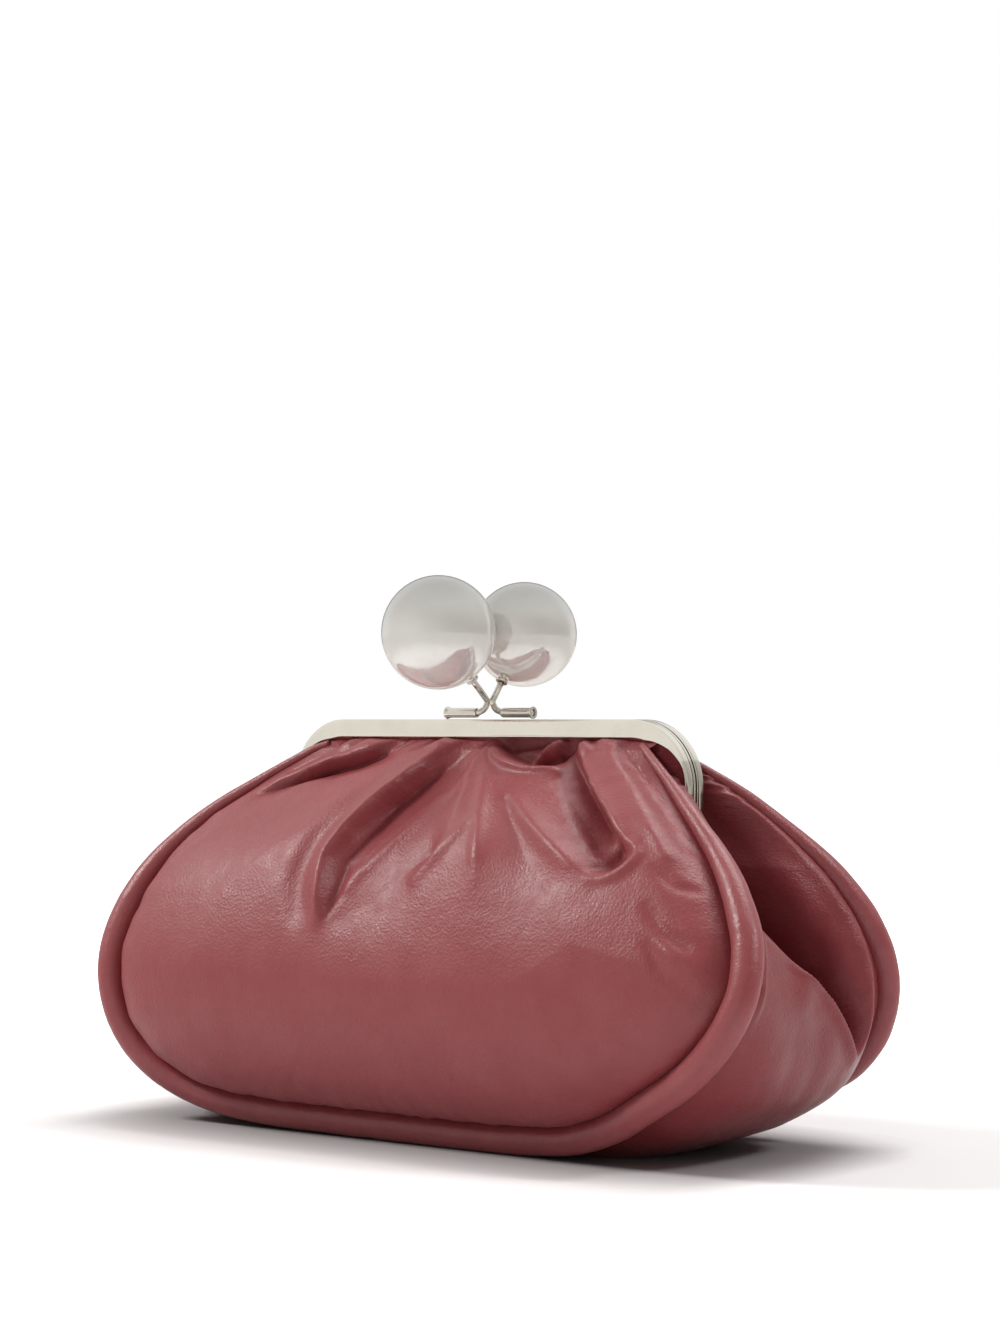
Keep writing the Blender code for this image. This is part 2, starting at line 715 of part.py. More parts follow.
def channel_section(side, band):
    """The channel across: (distance from the bag's middle plane, depth in from the frame's outside).

    It is open to the inside of the U. A fine groove sets off a thin rail beside the parting.
    """
    far = BACK_WALL + FRAME_THICKNESS
    round_off = FRAME_EDGE * 0.3
    rail = BACK_WALL + FRAME_RAIL
    lip = FRAME_EDGE / 2
    points = [
        (BACK_WALL, round_off), (BACK_WALL + round_off, 0.0), (rail, 0.0), (rail, FRAME_EDGE),
        (rail + FRAME_EDGE / 2, FRAME_EDGE), (rail + FRAME_EDGE, 0.0), (far - FRAME_EDGE, 0.0),
        (far - round_off, round_off), (far, FRAME_EDGE), (far, band - lip),
        (far - FRAME_WALL / 2, band), (far - FRAME_WALL, band - lip), (far - FRAME_WALL, FRAME_WALL),
        (BACK_WALL + FRAME_WALL, FRAME_WALL), (BACK_WALL + FRAME_WALL, band - lip),
        (BACK_WALL + FRAME_WALL / 2, band), (BACK_WALL, band - lip),
    ]
    return [(side * y, depth) for y, depth in points]


def swept(name, outside, sections):
    """Closed sections, one for each point of a line in X and Z. Their second value runs in from the line."""
    line = np.array(outside)
    steps = np.gradient(line, axis=0)
    steps[0], steps[-1] = line[1] - line[0], line[-1] - line[-2]
    inward = np.column_stack([-steps[:, 1], steps[:, 0]])
    inward /= np.linalg.norm(inward, axis=1)[:, None]
    count = len(sections[0])
    work = bmesh.new()
    bmesh.ops.create_grid(work, x_segments=len(line) - 1, y_segments=count, size=1.0)
    for vertex in work.verts:
        i = round((vertex.co.x + 1) / 2 * (len(line) - 1))
        j = round((vertex.co.y + 1) / 2 * count)
        y, depth = sections[i][j % count]
        x, z = line[i] + inward[i] * depth
        vertex.co = Vector((x, y, z))
    bmesh.ops.remove_doubles(work, verts=work.verts, dist=FRAME_EDGE / 50)
    bmesh.ops.holes_fill(work, edges=work.edges, sides=count)
    bmesh.ops.recalc_face_normals(work, faces=work.faces)
    mesh = bpy.data.meshes.new(name)
    work.to_mesh(mesh)
    work.free()
    return mesh


def ear_x(side):
    """The middle of the right ear: the front half's ears are outside the rear half's."""
    outer = FRAME_HALF_LENGTH - FRAME_EDGE - EAR_THICKNESS / 2
    return outer if side == FRONT else outer - EAR_THICKNESS - EAR_GAP


def ear_outline(side):
    """A round ear about the hinge with a neck up into the leg, and its rivet hole, in Y and Z."""
    near, away = BACK_WALL + FIT_GAP, EAR_RADIUS - FIT_GAP
    start, stop = math.acos(away / EAR_RADIUS), math.acos(near / EAR_RADIUS) - 2 * math.pi
    top = LEG_FOOT + OVERRUN
    round_end = [start + (stop - start) * i / (4 * ARC_STEPS) for i in range(4 * ARC_STEPS + 1)]
    outside = [(near, top), (away, top)]
    outside += [(EAR_RADIUS * math.cos(a), HINGE_HEIGHT + EAR_RADIUS * math.sin(a)) for a in round_end]
    bore = RIVET_RADIUS + RIVET_CLEARANCE
    hole = [(bore * math.cos(a), HINGE_HEIGHT + bore * math.sin(a))
            for a in np.arange(2 * ARC_STEPS) * math.pi / ARC_STEPS]
    return [(side * y, z) for y, z in outside], hole


def make_frame_half(side, word):
    """A channel bent to a U, open to the inside, with a round ear at each foot for the hinge rivet."""
    name = "frame_" + word
    outside = u_line(FRAME_HALF_LENGTH, FRAME_TOP, FRAME_CORNER, LEG_FOOT)
    sections = [channel_section(side, band_at(z)) for _, z in outside]
    item = add_object(name, swept(name, outside, sections), FRAME_FINISH, parts)
    for hand in (-1, 1):
        ear = flat_outlines(name + "_ear", ear_outline(side), EAR_THICKNESS)
        ear.transform(Matrix.Translation((hand * ear_x(side), 0.0, 0.0)) @ Matrix.Rotation(math.radians(90), 4, "Z"))
        cut(item, add_cutter(name + "_ear", ear), "UNION")
    shade_round(item)
    return item


def make_filler(side, word):
    """The cord that wedges the leather in the channel."""
    inset = FRAME_WALL + FIT_GAP + FILLER_RADIUS
    line = [(x, side * HALF_MIDDLE, z) for x, z in u_line(
        FRAME_HALF_LENGTH - inset, FRAME_TOP - inset, FRAME_CORNER - inset, LEG_FOOT + EAR_RADIUS)]
    name = "frame_filler_" + word
    mesh = curve_to_mesh(name, tube_curve(name, line, FILLER_RADIUS, 1), FRAME_EDGE / 50)
    shade_round(add_object(name, mesh, CORD_FINISH, parts))


def make_rivets():
    """A rivet through both ears at each end, with a round head on the outside and a flat one inside."""
    outer = FRAME_HALF_LENGTH + FIT_GAP
    inner = ear_x(REAR) - EAR_THICKNESS / 2 - FIT_GAP
    profile = [(0.0, outer + RIVET_HEAD), (RIVET_HEAD_RADIUS * 0.5, outer + RIVET_HEAD * 0.9),
               (RIVET_HEAD_RADIUS * 0.85, outer + RIVET_HEAD * 0.55), (RIVET_HEAD_RADIUS, outer),
               (RIVET_RADIUS, outer), (RIVET_RADIUS, inner), (RIVET_HEAD_RADIUS, inner),
               (RIVET_HEAD_RADIUS, inner - RIVET_HEAD / 2), (0.0, inner - RIVET_HEAD / 2)]
    for hand, word in ((-1, "left"), (1, "right")):
        item = turned("hinge_rivet_" + word, profile, 2 * ARC_STEPS, ROD_FINISH, parts)
        item.matrix_world = (Matrix.Translation((0.0, 0.0, HINGE_HEIGHT))
                             @ Matrix.Rotation(math.radians(hand * 90), 4, "Y"))


# The clasp

def ball_centres():
    """The front ball leans out over the front half. The rear ball stands clear of it by a small gap."""
    front = Vector((FRONT_BALL_X, -FRONT_BALL_LEAN, FRAME_TOP + BALL_HEIGHT))
    apart = FRONT_BALL_RADIUS + REAR_BALL_RADIUS + BALL_GAP
    back = math.sqrt(apart ** 2 - (REAR_BALL_X - FRONT_BALL_X) ** 2)
    rear = Vector((REAR_BALL_X, back - FRONT_BALL_LEAN, FRAME_TOP + BALL_HEIGHT))
    return front, rear


def ball_profile(radius, hole):
    """A hollow ball's wall, from the pole down the outside to the hole and back up the inside."""
    inner = radius - BALL_WALL
    start = math.asin(hole / radius)
    stop = math.asin(hole / inner)
    steps = 2 * ARC_STEPS
    outside = [math.pi - (math.pi - start) * i / steps for i in range(steps + 1)]
    inside = [stop + (math.pi - stop) * i / ARC_STEPS for i in range(ARC_STEPS + 1)]
    points = [(radius * math.sin(a), -radius * math.cos(a)) for a in outside]
    points += [(inner * math.sin(a), -inner * math.cos(a)) for a in inside]
    points[0] = (0.0, radius)
    points[-1] = (0.0, inner)
    return points


def place_turned(item, origin, direction):
    """Puts a turned piece's Z axis along the direction."""
    item.matrix_world = Matrix.Translation(origin) @ direction.to_track_quat("Z", "Y").to_matrix().to_4x4()


def make_clasp(side, word, hand, centre, radius):
    """One half's sleeve, bent rod, collar and ball. hand is -1 where the sleeve lies to the left."""
    base = Vector((0.0, side * HALF_MIDDLE, FRAME_TOP + FIT_GAP + SLEEVE_RADIUS + SLEEVE_RIM))
    kiss = Vector((hand * (ROD_RADIUS + KISS_GAP / 2), -side * KISS_BULGE, FRAME_TOP + KISS_HEIGHT))
    rise = (centre - kiss).normalized()
    entry = centre - rise * radius
    end = base + Vector((hand * (SLEEVE_INNER_END + SLEEVE_LENGTH - FIT_GAP), 0.0, 0.0))
    bend = base + Vector((hand * SLEEVE_INNER_END, 0.0, 0.0))
    corner = base + Vector((hand * (ROD_RADIUS + KISS_GAP / 2 + ROD_RADIUS / 2), 0.0, 0.0))
    turn = smooth_line([bend, (bend + corner) / 2 + Vector((0.0, 0.0, ROD_RADIUS / 4)),
                        (corner + kiss) / 2 + Vector((0.0, 0.0, -ROD_RADIUS / 2)), kiss], 3)
    line = [end] + [Vector(point) for point in turn] + [entry + rise * ROD_IN_BALL]
    name = "clasp_rod_" + word
    mesh = curve_to_mesh(name, tube_curve(name, line, ROD_RADIUS, 2), FRAME_EDGE / 50)
    shade_round(add_object(name, mesh, ROD_FINISH, parts))

    bore = ROD_RADIUS + SLEEVE_CLEARANCE
    profile = [(bore, SLEEVE_LENGTH), (SLEEVE_RADIUS + SLEEVE_RIM, SLEEVE_LENGTH),
               (SLEEVE_RADIUS + SLEEVE_RIM, SLEEVE_LENGTH - SLEEVE_RIM),
               (SLEEVE_RADIUS, SLEEVE_LENGTH - 2 * SLEEVE_RIM), (SLEEVE_RADIUS, 0.0), (bore, 0.0)]
    sleeve = turned("clasp_sleeve_" + word, profile, 2 * ARC_STEPS, ROD_FINISH, parts, closed=True)
    place_turned(sleeve, bend, Vector((hand, 0.0, 0.0)))

    ring = ROD_RADIUS + SLEEVE_CLEARANCE
    collar_profile = [(ring, COLLAR_LENGTH), (COLLAR_RADIUS * 0.85, COLLAR_LENGTH), (COLLAR_RADIUS, 0.0),
                      (ring, 0.0)]
    collar = turned("ball_collar_" + word, collar_profile, 2 * ARC_STEPS, ROD_FINISH, parts, closed=True)
    place_turned(collar, entry - rise * (SLEEVE_CLEARANCE + COLLAR_RADIUS / 8), -rise)

    ball = turned("clasp_ball_" + word, ball_profile(radius, ROD_RADIUS + FIT_GAP), 4 * ARC_STEPS, BALL_FINISH,
                  parts)
    place_turned(ball, centre, rise)


def build():
    make_panels()
    make_linings()
    make_pipings()
    make_gusset()
    make_gusset_tops()
    make_rivets()
    front, rear = ball_centres()
    for side, word, hand, centre, radius in ((FRONT, "front", -1, front, FRONT_BALL_RADIUS),
                                             (REAR, "rear", 1, rear, REAR_BALL_RADIUS)):
        make_frame_half(side, word)
        make_filler(side, word)
        make_clasp(side, word, hand, centre, radius)


clear_scene()
parts = make_collection("clutch_bag")
cutters = make_collection("cutters")
build()
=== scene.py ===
"""Looks of the kiss-lock clutch bag: leather with its folds, piping, gusset, lining, frame and clasp.

The shapes are written in millimetres and become metres in grid_object. Flat places on a panel are (x, reach),
where reach runs up along the bulged sheet from its foot. Side is -1 for the front and 1 for the rear.
"""

import math

import bpy
import numpy as np
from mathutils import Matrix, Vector, noise


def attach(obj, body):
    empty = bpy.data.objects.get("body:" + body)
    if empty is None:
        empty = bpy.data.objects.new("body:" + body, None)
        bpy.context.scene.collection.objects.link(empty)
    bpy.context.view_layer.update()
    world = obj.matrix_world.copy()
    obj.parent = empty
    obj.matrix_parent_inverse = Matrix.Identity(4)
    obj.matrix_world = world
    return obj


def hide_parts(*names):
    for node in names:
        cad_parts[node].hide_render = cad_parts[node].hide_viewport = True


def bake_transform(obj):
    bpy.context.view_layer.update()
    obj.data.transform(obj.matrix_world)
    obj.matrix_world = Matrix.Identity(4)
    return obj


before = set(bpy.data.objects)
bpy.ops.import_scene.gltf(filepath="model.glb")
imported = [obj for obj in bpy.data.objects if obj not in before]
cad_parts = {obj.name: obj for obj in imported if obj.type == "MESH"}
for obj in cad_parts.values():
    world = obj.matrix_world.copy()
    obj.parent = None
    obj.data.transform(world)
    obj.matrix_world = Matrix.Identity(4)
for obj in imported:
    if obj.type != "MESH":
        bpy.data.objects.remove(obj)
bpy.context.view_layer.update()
MM = 0.001
LIT = bpy.data.collections.new("lit_by_lamps")

# Numbers that part.py has too
SIDE = [(38, 5), (47, 24.84), (49.5, 49.64), (41.5, 75.06), (26.5, 99.98), (12.9, 119.08), (7, 129)]
GROOVE = [(3.2, 132.2), (3.2, 135.3)]
FRAME_TOP = 139
FRAME_HALF_LENGTH = 83
FRAME_CORNER = 22
FRAME_BAND = 6.2
FRAME_THICKNESS = 4.4
BACK_WALL = 0.3
LEG_FOOT = 100.8
BALLS = {"front": ((-6.4, -20.0, 168.0), 19.1), "rear": ((2.3, 16.38, 168.0), 17.9)}

# The middle lines of the two pipings, from the left top over the base to the right top, as (x, z)
FRONT_PIPING = [
    (-66.5, 130.6), (-72.5, 128.4), (-78.7, 125), (-86.5, 120.6), (-96, 114.2), (-104, 108.6),
    (-111.5, 101.8), (-117.5, 94.5), (-122.6, 86), (-126.2, 76), (-128.8, 66), (-129.4, 56),
    (-127.9, 45.1), (-124.6, 34.6), (-119, 25.6), (-109, 16.8), (-96, 10.6), (-81, 7.4), (-61, 5.8),
    (-40, 5.5), (-24.1, 5.3), (0, 5.1), (24.1, 5), (44, 5.4), (62.4, 7.2), (79, 12.4), (93.8, 20.1),
    (107.5, 28.2), (118.1, 36.7), (126.6, 47.2), (130.8, 58.5), (129, 72), (120.9, 85.2), (110, 96.6),
    (96, 107.8), (82, 118.4), (72, 126), (65.7, 130.4),
]
REAR_PIPING = [
    (-65.5, 130), (-73, 126.6), (-80, 122.4), (-88, 116.8), (-97, 108.6), (-105, 100.4),
    (-113, 90), (-119, 79), (-123, 66), (-124, 54), (-121.5, 41), (-116.5, 31),
    (-108, 22.4), (-95, 14.6), (-80, 9.6), (-62.9, 6.6), (-40, 5.3), (-24.1, 5), (24.3, 5),
    (43, 5.6), (62.5, 7.7), (80, 11.9), (96, 17.8), (110, 24.8), (118, 33.6), (122, 42.5),
    (123.9, 53), (123.4, 64), (120.8, 73.3), (116.9, 82.6), (111.2, 92.4), (102.6, 102.6), (92.7, 112.7),
    (86.5, 117.9), (79.3, 122.7), (73, 126), (65.5, 129.6),
]


# Lines and fields

def smooth_line(points, steps):
    pts = np.array(points, float)
    padded = np.vstack([2 * pts[0] - pts[1], pts, 2 * pts[-1] - pts[-2]])
    t = (np.arange(steps) / steps)[:, None]
    line = []
    for i in range(len(pts) - 1):
        a, b, c, d = padded[i:i + 4]
        line.append(0.5 * (2 * b + (c - a) * t + (2 * a - 5 * b + 4 * c - d) * t ** 2
                           + (3 * b - a - 3 * c + d) * t ** 3))
    line.append(pts[-1:])
    return np.vstack(line)


def lengths_along(line):
    return np.concatenate([[0.0], np.cumsum(np.linalg.norm(np.diff(line, axis=0), axis=1))])


def points_at(line, along, wanted):
    return np.column_stack([np.interp(wanted, along, column) for column in line.T])


def even_points(line, count):
    along = lengths_along(line)
    return points_at(line, along, np.linspace(0.0, along[-1], count))


def ease(value):
    value = np.clip(value, 0.0, 1.0)
    return value * value * (3 - 2 * value)


def noise_at(places):
    """Smooth noise, -1 to 1, at places of shape (..., 3)."""
    flat = places.reshape(-1, 3)
    return np.array([noise.noise(Vector(place)) for place in flat]).reshape(places.shape[:-1])


SHEET = np.vstack([smooth_line(SIDE, 16), GROOVE])
REACH = lengths_along(SHEET)


def sheet_at(reach):
    """The sheet's depth and height."""
    return np.interp(reach, REACH, SHEET[:, 0]), np.interp(reach, REACH, SHEET[:, 1])


def reach_of(z):
    return np.interp(z, SHEET[:, 1], REACH)


def depth_at(z):
    return np.interp(z, SHEET[:, 1], SHEET[:, 0])


def flat_line(points):
    """A smooth (x, reach) line through (x, z) points."""
    x, z = np.array(points, float).T
    return smooth_line(np.column_stack([x, reach_of(z)]), 6)


def on_sheet(x, reach, out, side):
    """Points of the front (side -1) or rear (side 1) sheet, moved out of the bag by out."""
    depth, height = sheet_at(reach)
    dy, dz = np.subtract(sheet_at(reach + 2.0), sheet_at(reach - 2.0))
    size = np.hypot(dy, dz)
    y = depth + out * dz / size
    z = height - out * dy / size
    return np.stack([x + 0 * y, side * y, z], -1)


def distances_to(line, places):
    """The distances of flat places, shape (..., 2), to each stretch of a polyline in turn."""
    for a, b in zip(line[:-1], line[1:]):
        ab = b - a
        rel = places - a
        share = np.clip((rel @ ab) / max(ab @ ab, 1e-9), 0.0, 1.0)
        yield np.linalg.norm(rel - share[..., None] * ab, axis=-1)


def distance_to(line, places):
    best = np.full(places.shape[:-1], 1e9)
    for away in distances_to(line, places):
        best = np.minimum(best, away)
    return best


class Field:
    """A height field over the flat panel, on a 1 mm grid."""
    X0, X1, R0, R1 = -140, 140, -4, 176

    def __init__(self):
        reach, x = np.mgrid[self.R0:self.R1 + 1, self.X0:self.X1 + 1].astype(float)
        self.places = np.stack([x, reach], -1)
        self.values = np.zeros(x.shape)

    def at(self, x, reach):
        cx = np.clip(x - self.X0, 0, self.values.shape[1] - 1.001)
        cr = np.clip(reach - self.R0, 0, self.values.shape[0] - 1.001)
        ix, ir = cx.astype(int), cr.astype(int)
        fx, fr = cx - ix, cr - ir
        v = self.values
        return ((v[ir, ix] * (1 - fx) + v[ir, ix + 1] * fx) * (1 - fr)
                + (v[ir + 1, ix] * (1 - fx) + v[ir + 1, ix + 1] * fx) * fr)


def blurred(values):
    padded = np.pad(values, 1, mode="edge")
    values = (padded[:-2, 1:-1] + 2 * values + padded[2:, 1:-1]) / 4
    padded = np.pad(values, 1, mode="edge")
    return (padded[1:-1, :-2] + 2 * values + padded[1:-1, 2:]) / 4


def fold_samples(folds):
    """Dense (x, reach, height) samples along the fold lines, whose points are (x, z, height)."""
    samples = []
    for fold in folds:
        x, z, height = np.array(fold, float).T
        line = smooth_line(np.column_stack([x, reach_of(z), height]), 8)
        samples.append(even_points(line, int(lengths_along(line[:, :2])[-1] * 2) + 2))
    return np.vstack(samples)


def relaxed(folds, zero):
    """A soap film through the fold lines, zero where the mask says so, softened a little.

    It is found on ever finer cells, each size with its own number of rounds.
    """
    field = Field()
    samples = fold_samples(folds)
    values = None
    for cell, rounds in ((8, 160), (4, 120), (2, 100), (1, 70)):
        still = zero[::cell, ::cell]
        shape = still.shape
        if values is None:
            values = np.zeros(shape)
        else:
            values = np.repeat(np.repeat(values, 2, 0), 2, 1)[:shape[0], :shape[1]]
            missing = [(0, wanted - got) for wanted, got in zip(shape, values.shape)]
            values = np.pad(values, missing, mode="edge")
        i = np.clip(np.round((samples[:, 1] - field.R0) / cell).astype(int), 0, shape[0] - 1)
        j = np.clip(np.round((samples[:, 0] - field.X0) / cell).astype(int), 0, shape[1] - 1)
        total, count = np.zeros(shape), np.zeros(shape)
        np.add.at(total, (i, j), samples[:, 2])
        np.add.at(count, (i, j), 1)
        held = count > 0
        mean = total[held] / count[held]
        for _ in range(rounds):
            padded = np.pad(values, 1, mode="edge")
            values = (padded[:-2, 1:-1] + padded[2:, 1:-1] + padded[1:-1, :-2] + padded[1:-1, 2:]) / 4
            values[still] = 0.0
            values[held] = mean
    field.values = blurred(values)
    return field


def near_line(field, points, width):
    """How near each place of the field is to a line of (x, z) points: 1 on it, fading towards both ends."""
    line = flat_line(points)
    fade = np.sin(np.linspace(0.08, 0.92, len(line)) * math.pi) ** 0.6
    near = np.zeros(field.values.shape)
    for away, strength in zip(distances_to(line, field.places), fade):
        near = np.maximum(near, strength * np.exp(-0.5 * (away / width) ** 2))
    return near


def strokes(field, lines):
    """Adds narrow ridges and creases: points (x, z), height, and width."""
    for points, height, width in lines:
        field.values = field.values + height * near_line(field, points, width)
    return field


def leans(lines):
    """How far the overlapping folds' crests hang over sideways and down: points, (dx, dreach), width."""
    across, down = Field(), Field()
    for points, (dx, dreach), width in lines:
        near = near_line(across, points, width)
        across.values = across.values + dx * near
        down.values = down.values + dreach * near
    return across, down


# The photographed folds of the front panel, as (x, z, height), in millimetres

ROLL_CREST = [(-37, 134, 0.6), (-41, 131, 1.8), (-45, 129.4, 2.7), (-52, 127.7, 3.2), (-59, 126, 3.6),
              (-64, 123.5, 3.6), (-70, 121.2, 3.4), (-76, 119.2, 2.8), (-82, 116.6, 2.1), (-91, 113.5, 1.1)]
RIDGE_CREST = [(-9, 133.4, 0.4), (-10, 131.4, 1.2), (-13, 129.7, 2), (-17, 126, 3.1), (-19, 118.6, 3.9),
               (-20, 113.4, 4.4), (-23, 109.2, 4.7), (-25, 105, 4.8), (-27, 101.1, 4.8), (-29, 96.7, 4.7),
               (-30, 92.7, 4.4), (-32, 89, 3.9), (-33, 85.4, 3.3), (-32, 79, 2.5), (-30, 73.7, 1.7),
               (-29, 69.1, 0.8)]
LOBE_EDGE = [(44, 129.1, 1.4), (52, 122.1, 2.7), (59, 115.5, 3.4), (65, 110.8, 3.9), (71, 106.6, 4.2),
             (77, 102.1, 4.4), (82, 97.8, 4.1), (85, 95.5, 3.2), (88, 94.4, 2.5)]
FRONT_FOLDS = [
    ROLL_CREST,
    # the valley under the roll, and its bright lip
    [(-32, 131.9, -1), (-36, 129.9, -2.2), (-40, 127.4, -3.2), (-46, 125.3, -4), (-52, 123.6, -4.4),
     (-58, 122.3, -4.6), (-64, 121.2, -4.6), (-70, 120, -4.2), (-75, 117.9, -3.6), (-79, 115.6, -2.8),
     (-83, 112.4, -2), (-86, 107.8, -1)],
    [(-13, 130.4, 1.6), (-19, 127.6, 1.6), (-25, 125.1, 1.6), (-29, 123.1, 1.5), (-34, 121, 1.4),
     (-40, 119, 1.2), (-46, 117.1, 1), (-50, 116.1, 0.8), (-55, 115.5, 0.6), (-62, 115.2, 0.5),
     (-67, 113.6, 0.4), (-72, 108.5, 0.1)],
    RIDGE_CREST,
    # the deep valley right of the narrow ridge, its lit wall, and the crease where that ends
    [(-1, 131.5, -0.7), (-3, 128.4, -1.7), (-6, 125.7, -2.6), (-9, 122.8, -3.5), (-12, 119.6, -4.1),
     (-15, 117, -4.5), (-18, 114.2, -4.7), (-20, 110.9, -4.7), (-21, 107.4, -4.5), (-21, 103.7, -4.1),
     (-21, 100, -3.7), (-22, 96.6, -3.1), (-23, 93.2, -2.5), (-24, 89.7, -1.9), (-26, 86.1, -1.2),
     (-26, 81, -0.6)],
    [(0, 122.4, -1.7), (0, 114.5, -2.2), (-1, 107.4, -2.5), (-4, 100.4, -2.2), (-7, 92.8, -1.7),
     (-11, 85.2, -1.2), (-15, 78.4, -0.7), (-20, 72.4, -0.2)],
    [(10, 89.7, -1.4), (3, 84.3, -1.4), (-3, 79.4, -1.3), (-9, 74.7, -1.1), (-16, 70.9, -0.7),
     (-22, 68.5, -0.4)],
    # the broad middle hump and its left edge
    [(4, 128.9, 0.8), (4, 125.5, 1.2), (5, 119.6, 1.8), (11, 108, 2.4), (14, 98.6, 2.6), (14, 91.2, 2.2),
     (12, 85.4, 1.4), (7, 80.5, 0.6)],
    [(8, 127.3, 0), (14, 117.2, 1), (21, 106.6, 2), (28, 95.4, 3.2), (32, 85.3, 3.4), (34, 75.8, 1.6)],
    [(28, 107.6, 1), (39, 97.4, 0.8), (50, 87.4, 0.6), (61, 79.9, 0.5)],
    # the pocket below the frame: its lip, its hollow, the small ridge across it and the dark corner
    [(8, 128.6, 0.8), (12, 125.7, 1), (16, 123.5, 1.3), (20, 122.2, 1.5), (23, 120.9, 1.6),
     (27, 119.8, 1.6), (31, 119.5, 1.6), (36, 119.8, 1.5), (40, 120.1, 1.2)],
    [(8, 131.9, -2.4), (11, 131.3, -3.2), (16, 130.6, -3.5), (21, 130.7, -3.2), (25, 131.6, -2.7)],
    [(24, 123.1, 0.2), (28, 125.4, 0.6), (31, 127.7, 1), (35, 129.9, 1.2)],
    [(26, 123.2, -3.2), (29, 126.2, -3.8), (32, 129.6, -3.6)],
    [(35, 123.8, -1), (37, 127.2, -1.6)],
    # the hump's right shoulder, and the deep valley beside the right lobe
    [(28, 110.1, 1.8), (37, 104.4, 2.2), (49, 97, 2.6), (59, 91.3, 2.8), (67, 86.9, 2.6), (74, 83.6, 2)],
    [(37, 130.8, -1.4), (42, 125.9, -2.7), (46, 121.9, -3.6), (50, 118.5, -4.5), (53, 115.7, -5),
     (58, 112.4, -5.5), (62, 109, -5.7), (66, 105.9, -5.7), (70, 102.5, -5.3), (74, 98.4, -4.2)],
    [(44, 116.4, -1.7), (53, 108.9, -2.8), (60, 102.7, -3.8), (67, 96.9, -4.1), (73, 91.9, -3.2)],
    [(43, 112.8, 0.3), (53, 105.1, 0.1), (61, 98.6, 0), (68, 92.8, 0), (75, 87.3, 0.3)],
    [(79, 95.3, -4), (79, 92.5, -4), (77, 89.8, -3.4)],
    [(89, 94, 2.4), (89, 90.6, 2.4), (88, 88, 2.2), (86, 85.6, 2), (84, 84, 1.8), (81, 83.4, 1.4)],
    LOBE_EDGE,
    [(50, 130.6, 2), (64, 120.7, 3.2), (80, 107.9, 4.3), (91, 98.6, 4.5), (99, 91.6, 3.1)],
    [(57, 132.1, 1), (68, 126.9, 1.4), (78, 119.5, 1.6), (87, 112.6, 1.4), (96, 105.6, 1)],
]
FRONT_LEANS = [
    ([point[:2] for point in ROLL_CREST], (0.5, -3), 3),
    ([point[:2] for point in RIDGE_CREST], (2.2, -1.7), 2.6),
    ([point[:2] for point in LOBE_EDGE], (-2.6, -0.8), 2.3),
]
